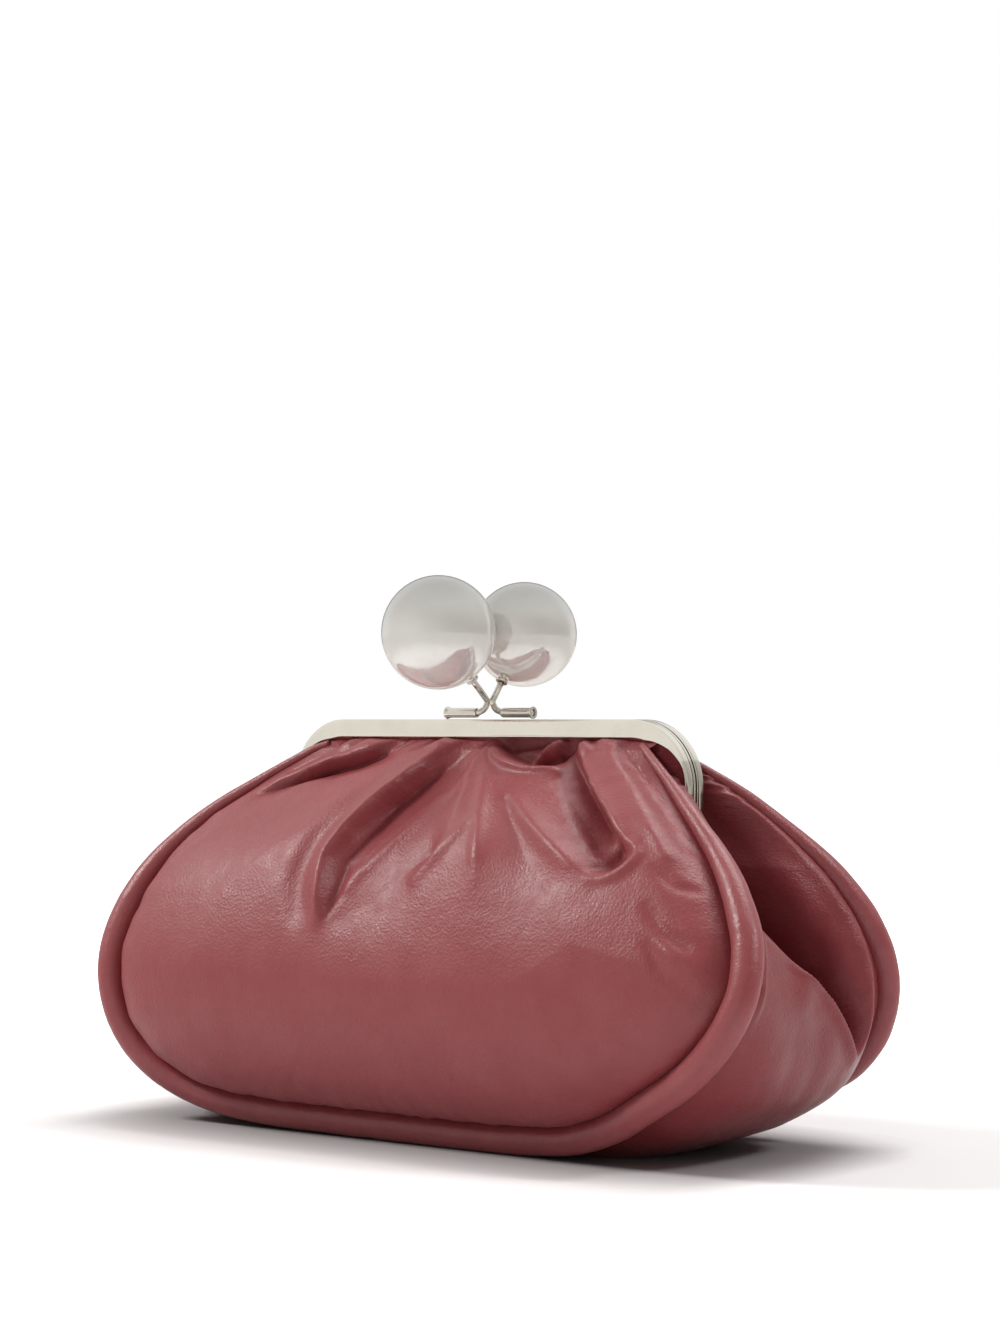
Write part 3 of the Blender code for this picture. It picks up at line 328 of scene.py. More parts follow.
FRONT_STROKES = [
    # the crests of the ridge and the lobe, and the pocket's lip, stand up crisply
    ([point[:2] for point in RIDGE_CREST[4:]], 1.5, 1.7),
    ([(-26, 114), (-31, 106), (-35, 98), (-39, 90), (-40, 80), (-37, 72)], -2.3, 3.8),
    ([(-30, 86), (-29.5, 79), (-28.5, 72)], 1.6, 1.6),
    ([(-24, 84), (-24, 78), (-26, 72)], -1.8, 1.6),
    ([point[:2] for point in LOBE_EDGE], 0.8, 1.1),
    ([(9, 127.6), (13, 124.8), (19, 122), (26, 120.4), (33, 120.3), (39, 121.2)], 1.9, 1.3),
    ([(11, 130.2), (17, 126.8), (23, 125.2), (28, 123.6), (33, 123.4)], -3.4, 1.7),
    ([(26, 123.4), (29, 126), (32, 128.4), (35, 130.8)], 3, 1.3),
    ([(31, 124), (35, 126.8), (38, 130)], -3.2, 1.4),
    ([(36, 131.4), (35, 128.6), (37, 125.4)], -1.5, 0.9),
    # the shoulder, and the curled lip under the lobe
    ([(34, 106), (45, 99.4), (56, 92.6), (66, 87.2)], 1.3, 2.4),
    ([(87, 95.2), (89, 91.6), (86, 87), (81, 84.2), (76, 83.4)], 1.4, 1.4),
    ([(80, 94.8), (81, 91.6), (79, 88.6), (75, 87)], -1.8, 1.5),
    ([(8, 124), (13, 117.6), (20, 107), (27, 96.4), (31, 87)], 1, 1.8),
    ([(3, 116), (-4, 104), (-12, 91), (-19, 79)], 1.6, 2.2),
    ([(-2, 108), (-9, 97), (-16, 86)], -1, 1.4),
    ([(22, 100), (16, 90), (7, 82)], 0.9, 2),
    # notches at the frame's band
    ([(-19, 132.4), (-21, 130), (-25, 127.6)], -1.3, 0.9),
    ([(-30, 132.6), (-33, 130.6), (-38, 128.8)], 0.9, 1),
    ([(-14, 132.6), (-15, 130.4), (-18, 128)], 1, 1.1),
    ([(3, 132.6), (2, 130.4), (3, 127)], -0.9, 0.9),
    ([(45, 132.2), (48, 130), (52, 127.8)], -1, 0.9),
    ([(41, 132.4), (44, 130.4), (49, 127.6)], 0.9, 1),
    # puckers at the frame's ends
    ([(-59, 132.1), (-64, 128.9), (-71, 125.9)], -1.8, 1.1),
    ([(-66, 131.5), (-71, 127.8), (-78, 124.6)], 1.2, 1.5),
    ([(-50, 131.6), (-54, 129), (-60, 127.4)], -1.1, 1),
    ([(61, 130.8), (66, 129.2), (71, 126.7), (76, 123.5)], 1.7, 1.5),
    ([(59, 130.4), (64, 127.6), (68, 124.5)], -2, 1.1),
    ([(66, 130.6), (71, 129), (76, 126)], -1.4, 1),
    # wrinkles at the seams
    ([(98, 77), (105, 71), (113, 68)], -1.1, 1.5),
    ([(101, 67), (108, 60), (116, 57)], -0.9, 1.4),
    ([(96, 88), (104, 84), (111, 84)], -0.9, 1.3),
    ([(102, 72), (109, 66), (117, 63)], 0.7, 1.6),
    ([(-98, 96), (-106, 90), (-112, 86)], -0.8, 1.6),
]
# The rear isn't in the photograph: it has folds of the same kind, of its own
REAR_FOLDS = [
    [(-40, 131.2, 1.6), (-55, 124, 4), (-72, 113, 5), (-88, 100, 4), (-99, 88, 2)],
    [(-29, 131.2, -2), (-42, 119, -4.4), (-55, 107, -6.4), (-66, 96, -6), (-73, 86, -2.6)],
    [(-18, 130.8, 0.6), (-27, 117, 2.6), (-36, 103, 3.6), (-42, 89, 2.8), (-45, 76, 1)],
    [(-5, 130.8, -1.6), (-9, 118, -4.6), (-13, 105, -6.6), (-17, 93, -5.6), (-19, 82, -1.8)],
    [(8, 130.6, 0.8), (6, 117, 3), (5, 103, 4.6), (4, 89, 4), (4, 74, 1.6)],
    [(21, 130.8, -2), (23, 118, -4.2), (27, 104, -6), (31, 92, -4.6), (33, 82, -1.4)],
    [(34, 131, 1.2), (43, 118, 3.6), (54, 104, 4.6), (63, 91, 3.6), (69, 78, 1.4)],
    [(50, 131.2, -2.4), (63, 119, -5), (77, 107, -5.6), (89, 97, -2.4)],
    [(60, 131.2, 1.2), (76, 121, 2.6), (92, 108, 2), (102, 98, 1)],
]
REAR_LEANS = [
    ([(-44, 130), (-56, 124), (-72, 113), (-88, 100)], (1, -1.8), 3.4),
    ([(8, 129), (6, 117), (5, 103), (4, 90)], (-1.8, -0.4), 3.4),
    ([(36, 130), (43, 118), (54, 104), (63, 91)], (-1.8, -0.8), 3.4),
]
REAR_STROKES = [
    ([(-58, 131.5), (-64, 128), (-72, 124.5)], -1.4, 1.1),
    ([(15, 131.6), (16, 126), (19, 121)], 1.1, 1.4),
    ([(-98, 84), (-106, 76), (-114, 72)], -0.9, 1.4),
    ([(99, 86), (108, 79), (114, 74)], -0.9, 1.4),
]


# Mesh makers

def add_object(name, data):
    item = bpy.data.objects.new(name, data)
    bpy.context.scene.collection.objects.link(item)
    return item


def grid_object(name, points, uv, wrap=False, marks=None, flip=False, closed=False):
    """A mesh on a grid of points, shape (rows, columns, 3), in mm.

    With wrap the columns close to rings, and uv has one column more. With closed a face closes each end.
    """
    rows, cols = points.shape[:2]
    index = np.arange(rows * cols).reshape(rows, cols)
    uv_index = np.arange(rows * (cols + 1)).reshape(rows, cols + 1) if wrap else index
    if wrap:
        index = np.concatenate([index, index[:, :1]], 1)
    corners = [(slice(None, -1), slice(None, -1)), (slice(None, -1), slice(1, None)),
               (slice(1, None), slice(1, None)), (slice(1, None), slice(None, -1))]
    if flip:
        corners = corners[::-1]
    faces = np.stack([index[c] for c in corners], -1).reshape(-1, 4).tolist()
    loops = np.stack([uv_index[c] for c in corners], -1).reshape(-1)
    places = (uv.reshape(-1, 2)[loops] * MM).astype(np.float32).ravel()
    if closed:
        faces += [list(range(cols))[::-1], list(range((rows - 1) * cols, rows * cols))]
        places = np.append(places, np.zeros(4 * cols, np.float32))
    mesh = bpy.data.meshes.new(name)
    mesh.from_pydata((points.reshape(-1, 3) * MM).tolist(), [], faces)
    mesh.uv_layers.new(name="UVMap").data.foreach_set("uv", places)
    if marks is not None:
        crest = mesh.attributes.new("crest", "FLOAT", "POINT")
        crest.data.foreach_set("value", marks.astype(np.float32).ravel())
    mesh.shade_smooth()
    return add_object(name, mesh)


def circle(across, other, sides):
    turn = np.arange(sides) * 2 * math.pi / sides
    return np.cos(turn)[:, None] * across + np.sin(turn)[:, None] * other


def tube_points(line, radii, sides):
    """Rings of points round a line, without twist, shape (rings, sides, 3)."""
    steps = np.gradient(line, axis=0)
    steps /= np.linalg.norm(steps, axis=1)[:, None]
    across = np.cross(steps[0], (0.0, 0.0, 1.0) if abs(steps[0][2]) < 0.9 else (0.0, 1.0, 0.0))
    rings = []
    for point, step, radius in zip(line, steps, radii):
        across = across - step * (across @ step)
        across /= np.linalg.norm(across)
        ring = circle(across, np.cross(step, across), sides)
        rings.append(point + ring * (radius[:, None] if np.ndim(radius) else radius))
    return np.array(rings)


def ring_uv(radius, sides, line):
    """A flat place for each point of the rings along a line, with one more to close them."""
    around = np.arange(sides + 1) * 2 * math.pi * float(radius) / sides
    return np.stack(np.meshgrid(around, lengths_along(line)), -1)


def tube_object(name, line, radii, sides, marks=None):
    uv = ring_uv(np.mean(radii), sides, line)
    return grid_object(name, tube_points(line, radii, sides), uv, wrap=True, marks=marks, closed=True)


def turned_object(name, profile, sides, origin, direction):
    """A profile of (radius, height) points turned about the direction, from the origin."""
    profile = np.array(profile, float)
    axis = np.array(Vector(direction).normalized())
    across = np.array(Vector(direction).orthogonal().normalized())
    ring = circle(across, np.cross(axis, across), sides)
    points = np.array(origin) + profile[:, 1, None, None] * axis + profile[:, 0, None, None] * ring
    return grid_object(name, points, ring_uv(profile[:, 0].max(), sides, profile), wrap=True, flip=True)


# Materials

WHITE = (1.0, 1.0, 1.0)


class Nodes:
    """Short forms for the nodes of a material or world."""
    def __init__(self, owner):
        self.tree = owner.node_tree

    def add(self, kind, inputs=None, **settings):
        node = self.tree.nodes.new(kind)
        for key, value in settings.items():
            setattr(node, key, value)
        return self.fill(node, inputs or {})

    def fill(self, node, inputs):
        """Gives inputs, by name or number, a number, vector or colour, or links them."""
        for key, value in inputs.items():
            socket = node.inputs[key]
            if isinstance(value, bpy.types.NodeSocket):
                self.tree.links.new(value, socket)
            else:
                socket.default_value = (*value, 1.0) if socket.type == "RGBA" else value
        return node

    def place(self, source="UV", scale=(1.0, 1.0, 1.0)):
        """Texture places from the UV map or the object, stretched by scale."""
        where = self.add("ShaderNodeTexCoord").outputs[source]
        return self.add("ShaderNodeMapping", {"Vector": where, "Scale": scale}).outputs["Vector"]

    def noise(self, vector, scale, detail=3.0, roughness=0.55):
        inputs = {"Vector": vector, "Scale": scale, "Detail": detail, "Roughness": roughness}
        return self.add("ShaderNodeTexNoise", inputs).outputs["Fac"]

    def cells(self, vector, scale, smoothness=0.35):
        inputs = {"Vector": vector, "Scale": scale, "Smoothness": smoothness}
        return self.add("ShaderNodeTexVoronoi", inputs, feature="SMOOTH_F1").outputs["Distance"]

    def threads(self, vector, scale, way):
        inputs = {"Vector": vector, "Scale": scale}
        return self.add("ShaderNodeTexWave", inputs, wave_type="BANDS", bands_direction=way).outputs["Fac"]

    def crest(self):
        """The meshes' own field: up to 1 on crests, where it stands partly for wear and partly for a painted
        highlight, and down to -1 deep in folds and grooves, where it stands for painted shade.
        """
        return self.add("ShaderNodeAttribute", attribute_name="crest").outputs["Fac"]

    def span(self, value, low, high, start=0.0, stop=1.0):
        """Goes from low to high as value goes from start to stop."""
        inputs = {"Value": value, "From Min": start, "From Max": stop, "To Min": low, "To Max": high}
        return self.add("ShaderNodeMapRange", inputs).outputs["Result"]

    def math(self, operation, first, second):
        return self.add("ShaderNodeMath", {0: first, 1: second}, operation=operation).outputs[0]

    def along(self, parts, way):
        """The part of a direction, given as its separated X, Y and Z, that goes one way."""
        total = 0.0
        for axis, share in zip("XYZ", way):
            total = self.math("ADD", self.math("MULTIPLY", parts.outputs[axis], share), total)
        return total

    def bump(self, height, distance, strength, below=None):
        inputs = {"Height": height, "Distance": distance, "Strength": strength}
        if below is not None:
            inputs["Normal"] = below
        return self.add("ShaderNodeBump", inputs).outputs["Normal"]

    def color_mix(self, share, first, second):
        """The first colour where share is 0 and the second where it is 1."""
        return self.add("ShaderNodeMix", {0: share, 6: first, 7: second}, data_type="RGBA").outputs[2]

    def either(self, share, first, second):
        """The first shader where share is 0 and the second where it is 1."""
        return self.add("ShaderNodeMixShader", {0: share, 1: first, 2: second}).outputs[0]

    def glow(self, kind, color, strength=1.0):
        return self.add(kind, {"Color": color, "Strength": strength}).outputs[0]


def new_material(name, color, roughness, metallic=0.0):
    material = bpy.data.materials.new(name)
    material.use_nodes = True
    nodes = Nodes(material)
    shader = nodes.tree.nodes["Principled BSDF"]
    nodes.fill(shader, {"Base Color": color, "Roughness": roughness, "Metallic": metallic})
    return material, nodes, shader


def leather_material(name, mid, light, dark, roughness, grain=1.0, shine=0.5):
    """Glazed lambskin: grain, creases and cloudy colour. Crests are lighter, partly as wear and partly as a
    painted highlight, and folds and valleys are darker and less glossy, as painted shade.
    """
    material, nodes, shader = new_material(name, mid, roughness)
    place = nodes.place()
    cloud = nodes.noise(place, 55.0, 4.0, 0.6)
    mottle = nodes.noise(place, 420.0, 3.0, 0.6)
    crest = nodes.crest()
    color = nodes.color_mix(nodes.span(cloud, 0.0, 0.55, 0.42, 0.72), mid, light)
    color = nodes.color_mix(nodes.span(mottle, 0.0, 0.15, 0.5, 0.8), color, dark)
    # lighter on crests: partly wear, partly painted highlight
    color = nodes.color_mix(nodes.span(crest, 0.0, 0.5, 0.15, 1.0), color, light)
    # darker deep in folds and valleys: painted shade
    color = nodes.color_mix(nodes.span(crest, 0.0, 0.65, -0.25, -0.95), color, dark)
    # soft dents, pores, wrinkles and fine grain, each with its depth in metres and its strength
    normal = None
    for texture, depth, strength in ((nodes.noise(place, 46.0, 3.0, 0.5), 0.0022, 0.35),
                                     (nodes.cells(place, 1150.0), 0.00016, 0.55),
                                     (nodes.noise(place, 1300.0, 3.0, 0.65), 0.00016, 0.6),
                                     (nodes.noise(place, 1900.0, 2.0, 0.6), 0.00008, 0.6)):
        normal = nodes.bump(texture, depth * grain, strength, normal)
    nodes.fill(shader, {
        "Base Color": color, "Normal": normal,
        "Roughness": nodes.span(nodes.noise(place, 130.0), roughness - 0.06, roughness + 0.08, 0.3, 0.7),
        # the specular turned down deep in folds is painted shade
        "Specular IOR Level": nodes.span(crest, 0.15 * shine, shine, -0.85, -0.1),
        "Sheen Weight": 0.05, "Sheen Roughness": 0.45, "Sheen Tint": (0.95, 0.75, 0.74)})
    return material


def cloth_material(name, color, thread):
    """A plain woven lining."""
    material, nodes, shader = new_material(name, color, 0.86)
    place = nodes.place()
    threads = nodes.math("MULTIPLY", nodes.threads(place, 520.0, "X"), nodes.threads(place, 520.0, "Y"))
    tone = nodes.color_mix(nodes.span(threads, 0.0, 0.8), color, thread)
    tone = nodes.color_mix(nodes.span(nodes.noise(place, 40.0), 0.0, 0.4, 0.4, 0.8), tone, color)
    nodes.fill(shader, {"Base Color": tone, "Normal": nodes.bump(threads, 0.0002, 0.6), "Sheen Weight": 0.3})
    return material


def fibre_material(name, color, dark, scale):
    """Twisted cord or pressed board: streaky fibres."""
    material, nodes, shader = new_material(name, color, 0.9)
    streak = nodes.noise(nodes.place("Object"), scale, 4.0, 0.7)
    nodes.fill(shader, {
        "Base Color": nodes.color_mix(nodes.span(streak, 0.0, 1.0, 0.35, 0.7), color, dark),
        "Roughness": nodes.span(streak, 0.8, 0.98, 0.3, 0.7), "Normal": nodes.bump(streak, 0.0004, 0.6)})
    return material


def metal_material(name, color, worn, roughness, brush, metallic=1.0):
    """Plated metal: faint brushing and smudges, with painted shade in the grooves and on the frame's legs."""
    material, nodes, shader = new_material(name, color, roughness, metallic)
    streak = nodes.noise(nodes.place("Object", (60.0, 900.0, 900.0)), 3.0)
    smudge = nodes.noise(nodes.place("Object"), 70.0, 4.0, 0.6)
    tone = nodes.color_mix(nodes.span(smudge, 0.0, 0.6, 0.45, 0.75), color, worn)
    # darker where the marks are low: painted shade in the grooves and on the legs
    tone = nodes.color_mix(nodes.span(nodes.crest(), 0.0, 1.0, 0.0, -1.0), tone, (0.16, 0.145, 0.12))
    rough = nodes.math("ADD", nodes.span(smudge, roughness * 0.8, roughness * 1.25, 0.3, 0.7),
                       nodes.span(streak, -0.02, 0.03, 0.3, 0.7))
    nodes.fill(shader, {"Base Color": tone, "Roughness": rough,
                        "Normal": nodes.bump(streak, 0.00002 * brush, 0.5)})
    return material


# Each leather's light colour is also the painted highlight on crests, and its dark colour is also the painted
# shade in folds and valleys, besides their random mottle.
LEATHER = leather_material("panel_leather", (0.250, 0.040, 0.046), (0.285, 0.060, 0.065),
                           (0.105, 0.013, 0.016), 0.42, 1.0, 0.44)
GUSSET_LEATHER = leather_material("gusset_leather", (0.215, 0.031, 0.036), (0.25, 0.048, 0.053),
                                  (0.070, 0.009, 0.011), 0.34, 1.0, 0.36)
PIPING_LEATHER = leather_material("piping_leather", (0.260, 0.044, 0.050), (0.30, 0.066, 0.071),
                                  (0.20, 0.030, 0.034), 0.38, 0.8)
LINING = cloth_material("lining_cloth", (0.20, 0.065, 0.070), (0.29, 0.11, 0.115))
CORD = fibre_material("cord_fibre", (0.62, 0.57, 0.48), (0.42, 0.37, 0.29), 700.0)
BOARD = fibre_material("board_fibre", (0.42, 0.36, 0.28), (0.30, 0.25, 0.19), 260.0)
NICKEL = metal_material("nickel_frame", (0.83, 0.80, 0.735), (0.75, 0.71, 0.64), 0.20, 1.0)
FITTINGS = metal_material("nickel_fittings", (0.72, 0.69, 0.64), (0.60, 0.57, 0.52), 0.16, 1.0)
POLISHED = metal_material("polished_ball", (0.90, 0.885, 0.845), (0.86, 0.84, 0.80), 0.06, 0.25, 0.32)


def give(item, material):
    """Only what isn't metal is lit by the lamps; the metal mirrors the room."""
    item.data.materials.clear()
    item.data.materials.append(material)
    if material not in (NICKEL, FITTINGS, POLISHED):
        LIT.objects.link(item)


# The panels and pipings

PANEL_ROWS, PANEL_COLUMNS = 220, 330
PANEL_TOP = 135.3  # the height of the panel's edge inside the channel
TOP_CORNER = (71.6, 3.0)  # half the width of that edge, and how much lower its corners are
TOP_SIDE = (70.0, 130.4)  # where the panel's side edge leaves the frame
NECK = 129.0  # the height above which the piping's line no longer carries the panel
SIDE_SHARE = 0.27  # the share of the outline that each side edge takes, from its top
DENT, STAND = 0.95, 1.25  # how much of a fold's height is kept below and above the sheet
MARK_HEIGHT = 6.0  # the fold height that counts as a full crest, for the painted highlight and shade
LINING_GAP, LINING_REACH = 2.6, 9.0  # how far the lining lies inside the leather, and how far out it goes
EDGE_PUFF, EDGE_WIDTH = 6.5, 5.0  # how the stuffed panel swells beside the piping
MIDDLE_PUFF, MIDDLE_WIDTH = 6.5, 45.0  # and towards its middle


def piping_radius(z):
    """The piping thins out towards the frame."""
    return np.interp(z, [75.0, 88.0, 106.0, 113.0, 121.0, 130.0], [5.0, 4.25, 2.65, 2.3, 1.6, 1.3])


def radius_at(reach):
    return piping_radius(sheet_at(reach)[1])


def sideways(line):
    """Unit directions to the left of a flat line."""
    steps = np.gradient(line, axis=0)
    left = np.column_stack([-steps[:, 1], steps[:, 0]])
    return left / np.linalg.norm(left, axis=1)[:, None]


def panel_grid(outline):
    """Flat places (rows, columns, 2) inside the piping's line moved in, and up into the frame's groove."""
    line = outline + sideways(outline) * (0.86 * radius_at(outline[:, 1]))[:, None]
    line = line[line[:, 1] < reach_of(NECK)]
    top = reach_of(PANEL_TOP)
    corner, drop = TOP_CORNER
    side, side_reach = TOP_SIDE[0], reach_of(TOP_SIDE[1])
    line = np.vstack([[(-corner, top - drop), (-side, side_reach)], line,
                      [(side, side_reach), (corner, top - drop)]])
    along = lengths_along(line)

    def part(low, high, count):
        return points_at(line, along, np.linspace(low, high, count) * along[-1])

    left = part(SIDE_SHARE, 0.0, PANEL_ROWS)
    right = part(1 - SIDE_SHARE, 1.0, PANEL_ROWS)
    low = part(SIDE_SHARE, 1 - SIDE_SHARE, PANEL_COLUMNS)
    across = np.linspace(-corner, corner, PANEL_COLUMNS)
    high = np.column_stack([across, top - drop * ease((np.abs(across) - 58.0) / 12.5)])
    u = np.linspace(0.0, 1.0, PANEL_COLUMNS)[None, :, None]
    v = np.linspace(0.0, 1.0, PANEL_ROWS)[:, None, None]
    sides = (1 - u) * left[:, None] + u * right[:, None]
    ends = (1 - v) * low[None] + v * high[None]
    corners = (1 - v) * ((1 - u) * low[0] + u * low[-1]) + v * ((1 - u) * high[0] + u * high[-1])
    return sides + ends - corners


def crown(edge, reach):
    """How far the stuffed leather stands out of the sheet, at a distance from the piping's middle."""
    z = sheet_at(reach)[1]
    radius = piping_radius(z)
    inside = np.clip(edge - radius, 0.0, None)
    puff = EDGE_PUFF * (1 - np.exp(-inside / EDGE_WIDTH))
    puff += MIDDLE_PUFF * np.clip(inside / MIDDLE_WIDTH, 0.0, 1.0) ** 0.8
    tuck = -1.2 * np.clip(radius - edge, 0.0, 1.0)
    return puff * ease((134.0 - z) / 50.0) ** 0.7 + tuck * (z < 128)


def seam_puckers(edge, x, reach, seed):
    """Small creases that run in from the seam."""
    angle = np.arctan2(reach - 70.0, x)
    rough = noise_at(np.stack([angle * 16.0, edge * 0.03, np.full(x.shape, seed)], -1))
    inside = np.clip(edge - 5.0, 0.0, None)
    return 0.9 * rough * np.exp(-inside / 9.0) * (inside > 0)


def make_panel(name, outline, folds, marks, hangs, side, seed):
    """One panel of leather with its lining. The folds vanish at the seam, at the frame and low down."""
    flat = flat_line(outline)
    places = panel_grid(flat)
    x, reach = places[..., 0], places[..., 1]
    field_x, field_reach = np.moveaxis(Field().places, -1, 0)
    still = (distance_to(flat[::4], Field().places) < 5.5) | (np.abs(field_x) >= 128)
    still |= (field_reach > reach_of(134.2)) | (np.abs(field_reach - reach_of(47.0)) < 1.5)
    height = strokes(relaxed(folds, still), marks)
    across, down = leans(hangs)
    edge = distance_to(flat[::2], places)
    free = ease((edge - 4.5) / 5.0) * ease((reach_of(135.2) - reach) / 5.0)
    fold = height.at(x, reach)
    fold = free * np.where(fold < 0, DENT, STAND) * fold
    rise = crown(edge, reach)
    out = rise + fold + seam_puckers(edge, x, reach, seed)
    skin = on_sheet(x + across.at(x, reach) * free, reach + down.at(x, reach) * free, out, side)
    # The fold heights become the crest marks: painted shade in the valleys, and crests lighter, partly as
    # wear and partly as a painted highlight.
    item = grid_object(name, skin, places, marks=fold / MARK_HEIGHT, flip=side > 0)
    give(item, LEATHER)
    inner = np.minimum(rise + np.minimum(fold, 0.4 * fold), LINING_REACH) - LINING_GAP
    lining = grid_object("lining_" + name, on_sheet(x, reach, inner, side)[:-4:2, ::2], places[:-4:2, ::2],
                         flip=side < 0)
    give(lining, LINING)
    return item, lining


# The piping's lumps and puckers: their rate along it and size round it, an offset, and a share of its radius
LUMPS = [(0.14, 1.3, 0, 0.016), (0.55, 1.1, 9, 0.010)]


def make_piping(name, outline, side, seed):
    rings, sides = 520, 28
    flat = even_points(flat_line(outline), rings)
    line = on_sheet(flat[:, 0], flat[:, 1], np.zeros(rings), side)
    radii = piping_radius(line[:, 2])
    turn = np.arange(sides) * 2 * math.pi / sides
    swell = np.ones((rings, sides))
    for rate, size, shift, share in LUMPS:
        swell += share * np.array([[
            noise.noise(Vector((length * rate, size * math.cos(t) + shift, size * math.sin(t) + seed)))
            for t in turn] for length in lengths_along(line)])
    rough = radii[:, None] * swell
    # The swell is also the crest mark: the biggest lumps are a touch lighter, a painted highlight, and the
    # pinches a touch less glossy, a painted shade.
    item = tube_object(name, line, rough, sides, marks=(rough / radii[:, None] - 1) * 6)
    give(item, PIPING_LEATHER)
    return item


# The gusset

# Its deep fold by height, as (z, y or x): where it starts, how steeply it dips, the crest of its rear roll,
# and its valley
FOLD_START = [(33, 29), (37, 26), (44, 16.5), (52, 6), (61, -9), (68, -21), (76, -35)]
FOLD_POWER = [(33, 0.8), (61, 0.8), (76, 1.7)]
CREST_REAR = [(34, 31), (41, 32.5), (60, 34.5), (75, 32), (88, 27), (102, 19), (114, 11), (130, 5.5)]
VALLEY_Y = [(37, 29), (44, 24), (52, 18), (61, 12), (75, 5), (88, 0), (130, 0)]
VALLEY_X = [(37, 125), (45, 112), (60, 94), (75, 83), (88, 76), (98, 75.5), (110, 75), (130, 75)]
ROUND_PART = [(44, 0.2), (60, 0.85), (92, 0.85), (112, 0)]  # how far the rear wall is a quarter circle
BASE_BULGE = [(4.6, 10.5), (9, 12.5), (20, 14.5), (30, 13), (45, 5), (62, 0)]
FOLD_FOOT = 33.0
GUSSET_ROWS, GUSSET_COLUMNS = 460, 117
GUSSET_LINING_GAP = 1.9


def by_height(table, z):
    table = np.array(table, float)
    return np.interp(z, table[:, 0], table[:, 1])


def gusset_edge(outline, side):
    """The gusset's edge beside a piping, evenly from its left top to its right top.

    Gives its points, how far it bulges outward per millimetre, and the length from the base to a top.
    """
    flat = flat_line(outline)
    along = lengths_along(flat)
    along = along - along[int(np.argmin(np.abs(flat[:, 0]) + flat[:, 1]))]
    top = min(-along[0], along[-1]) - 0.4
    places = np.linspace(-1.0, 1.0, GUSSET_ROWS) * top
    x, reach = points_at(flat, along, places).T
    out_x, out_z = -points_at(sideways(flat), along, places).T
    edge = on_sheet(x, reach, -0.84 * radius_at(reach), side)
    return edge, np.column_stack([out_x, np.zeros(GUSSET_ROWS), out_z]), top


def within(z, low, soft_low, high, soft_high):
    """1 between two heights, fading over the given lengths inside them."""
    return ease((z - low) / soft_low) * ease((high - z) / soft_high)


def gusset_dip(y, z, fold_from, valley_y, crest_rear):
    """How deep each place lies in the fold, 0 to 1, and how far it is behind the valley, as a share."""
    near = np.clip((y - fold_from) / np.maximum(valley_y - fold_from, 0.5), 0.0, 1.0)
    far = np.clip((crest_rear - y) / np.maximum(crest_rear - valley_y, 0.5), 0.0, 1.0)
    round_part = by_height(ROUND_PART, z)
    wall = round_part * (1 - np.sqrt(1 - far ** 2)) + (1 - round_part) * ease(far) ** 0.9
    deep = np.where(y < valley_y, 1.12 * near ** by_height(FOLD_POWER, z) * near / (near + 0.12), wall)
    return deep * ease((z - FOLD_FOOT) / 8.0), far


def seated(x, y, z):
    """Moves the gusset's top into the frame's channel, round the corner's middle. Gives x and z."""
    middle_x, middle_z = FRAME_HALF_LENGTH - FRAME_CORNER, FRAME_TOP - FRAME_CORNER
    rise = np.maximum(z - middle_z, 0.0)
    radius = np.hypot(np.maximum(x - middle_x, 0.0), rise)
    seat = FRAME_CORNER - frame_band(z + 2.0) + 0.7
    held = np.exp(-((np.abs(y) - 2.9) / 1.5) ** 4) * ease((z - 106.0) / 9.0)
    grown = 1 + held * (seat / np.maximum(radius, 1.0) - 1)
    return middle_x + (x - middle_x) * grown, z > middle_z, middle_z + rise * grown


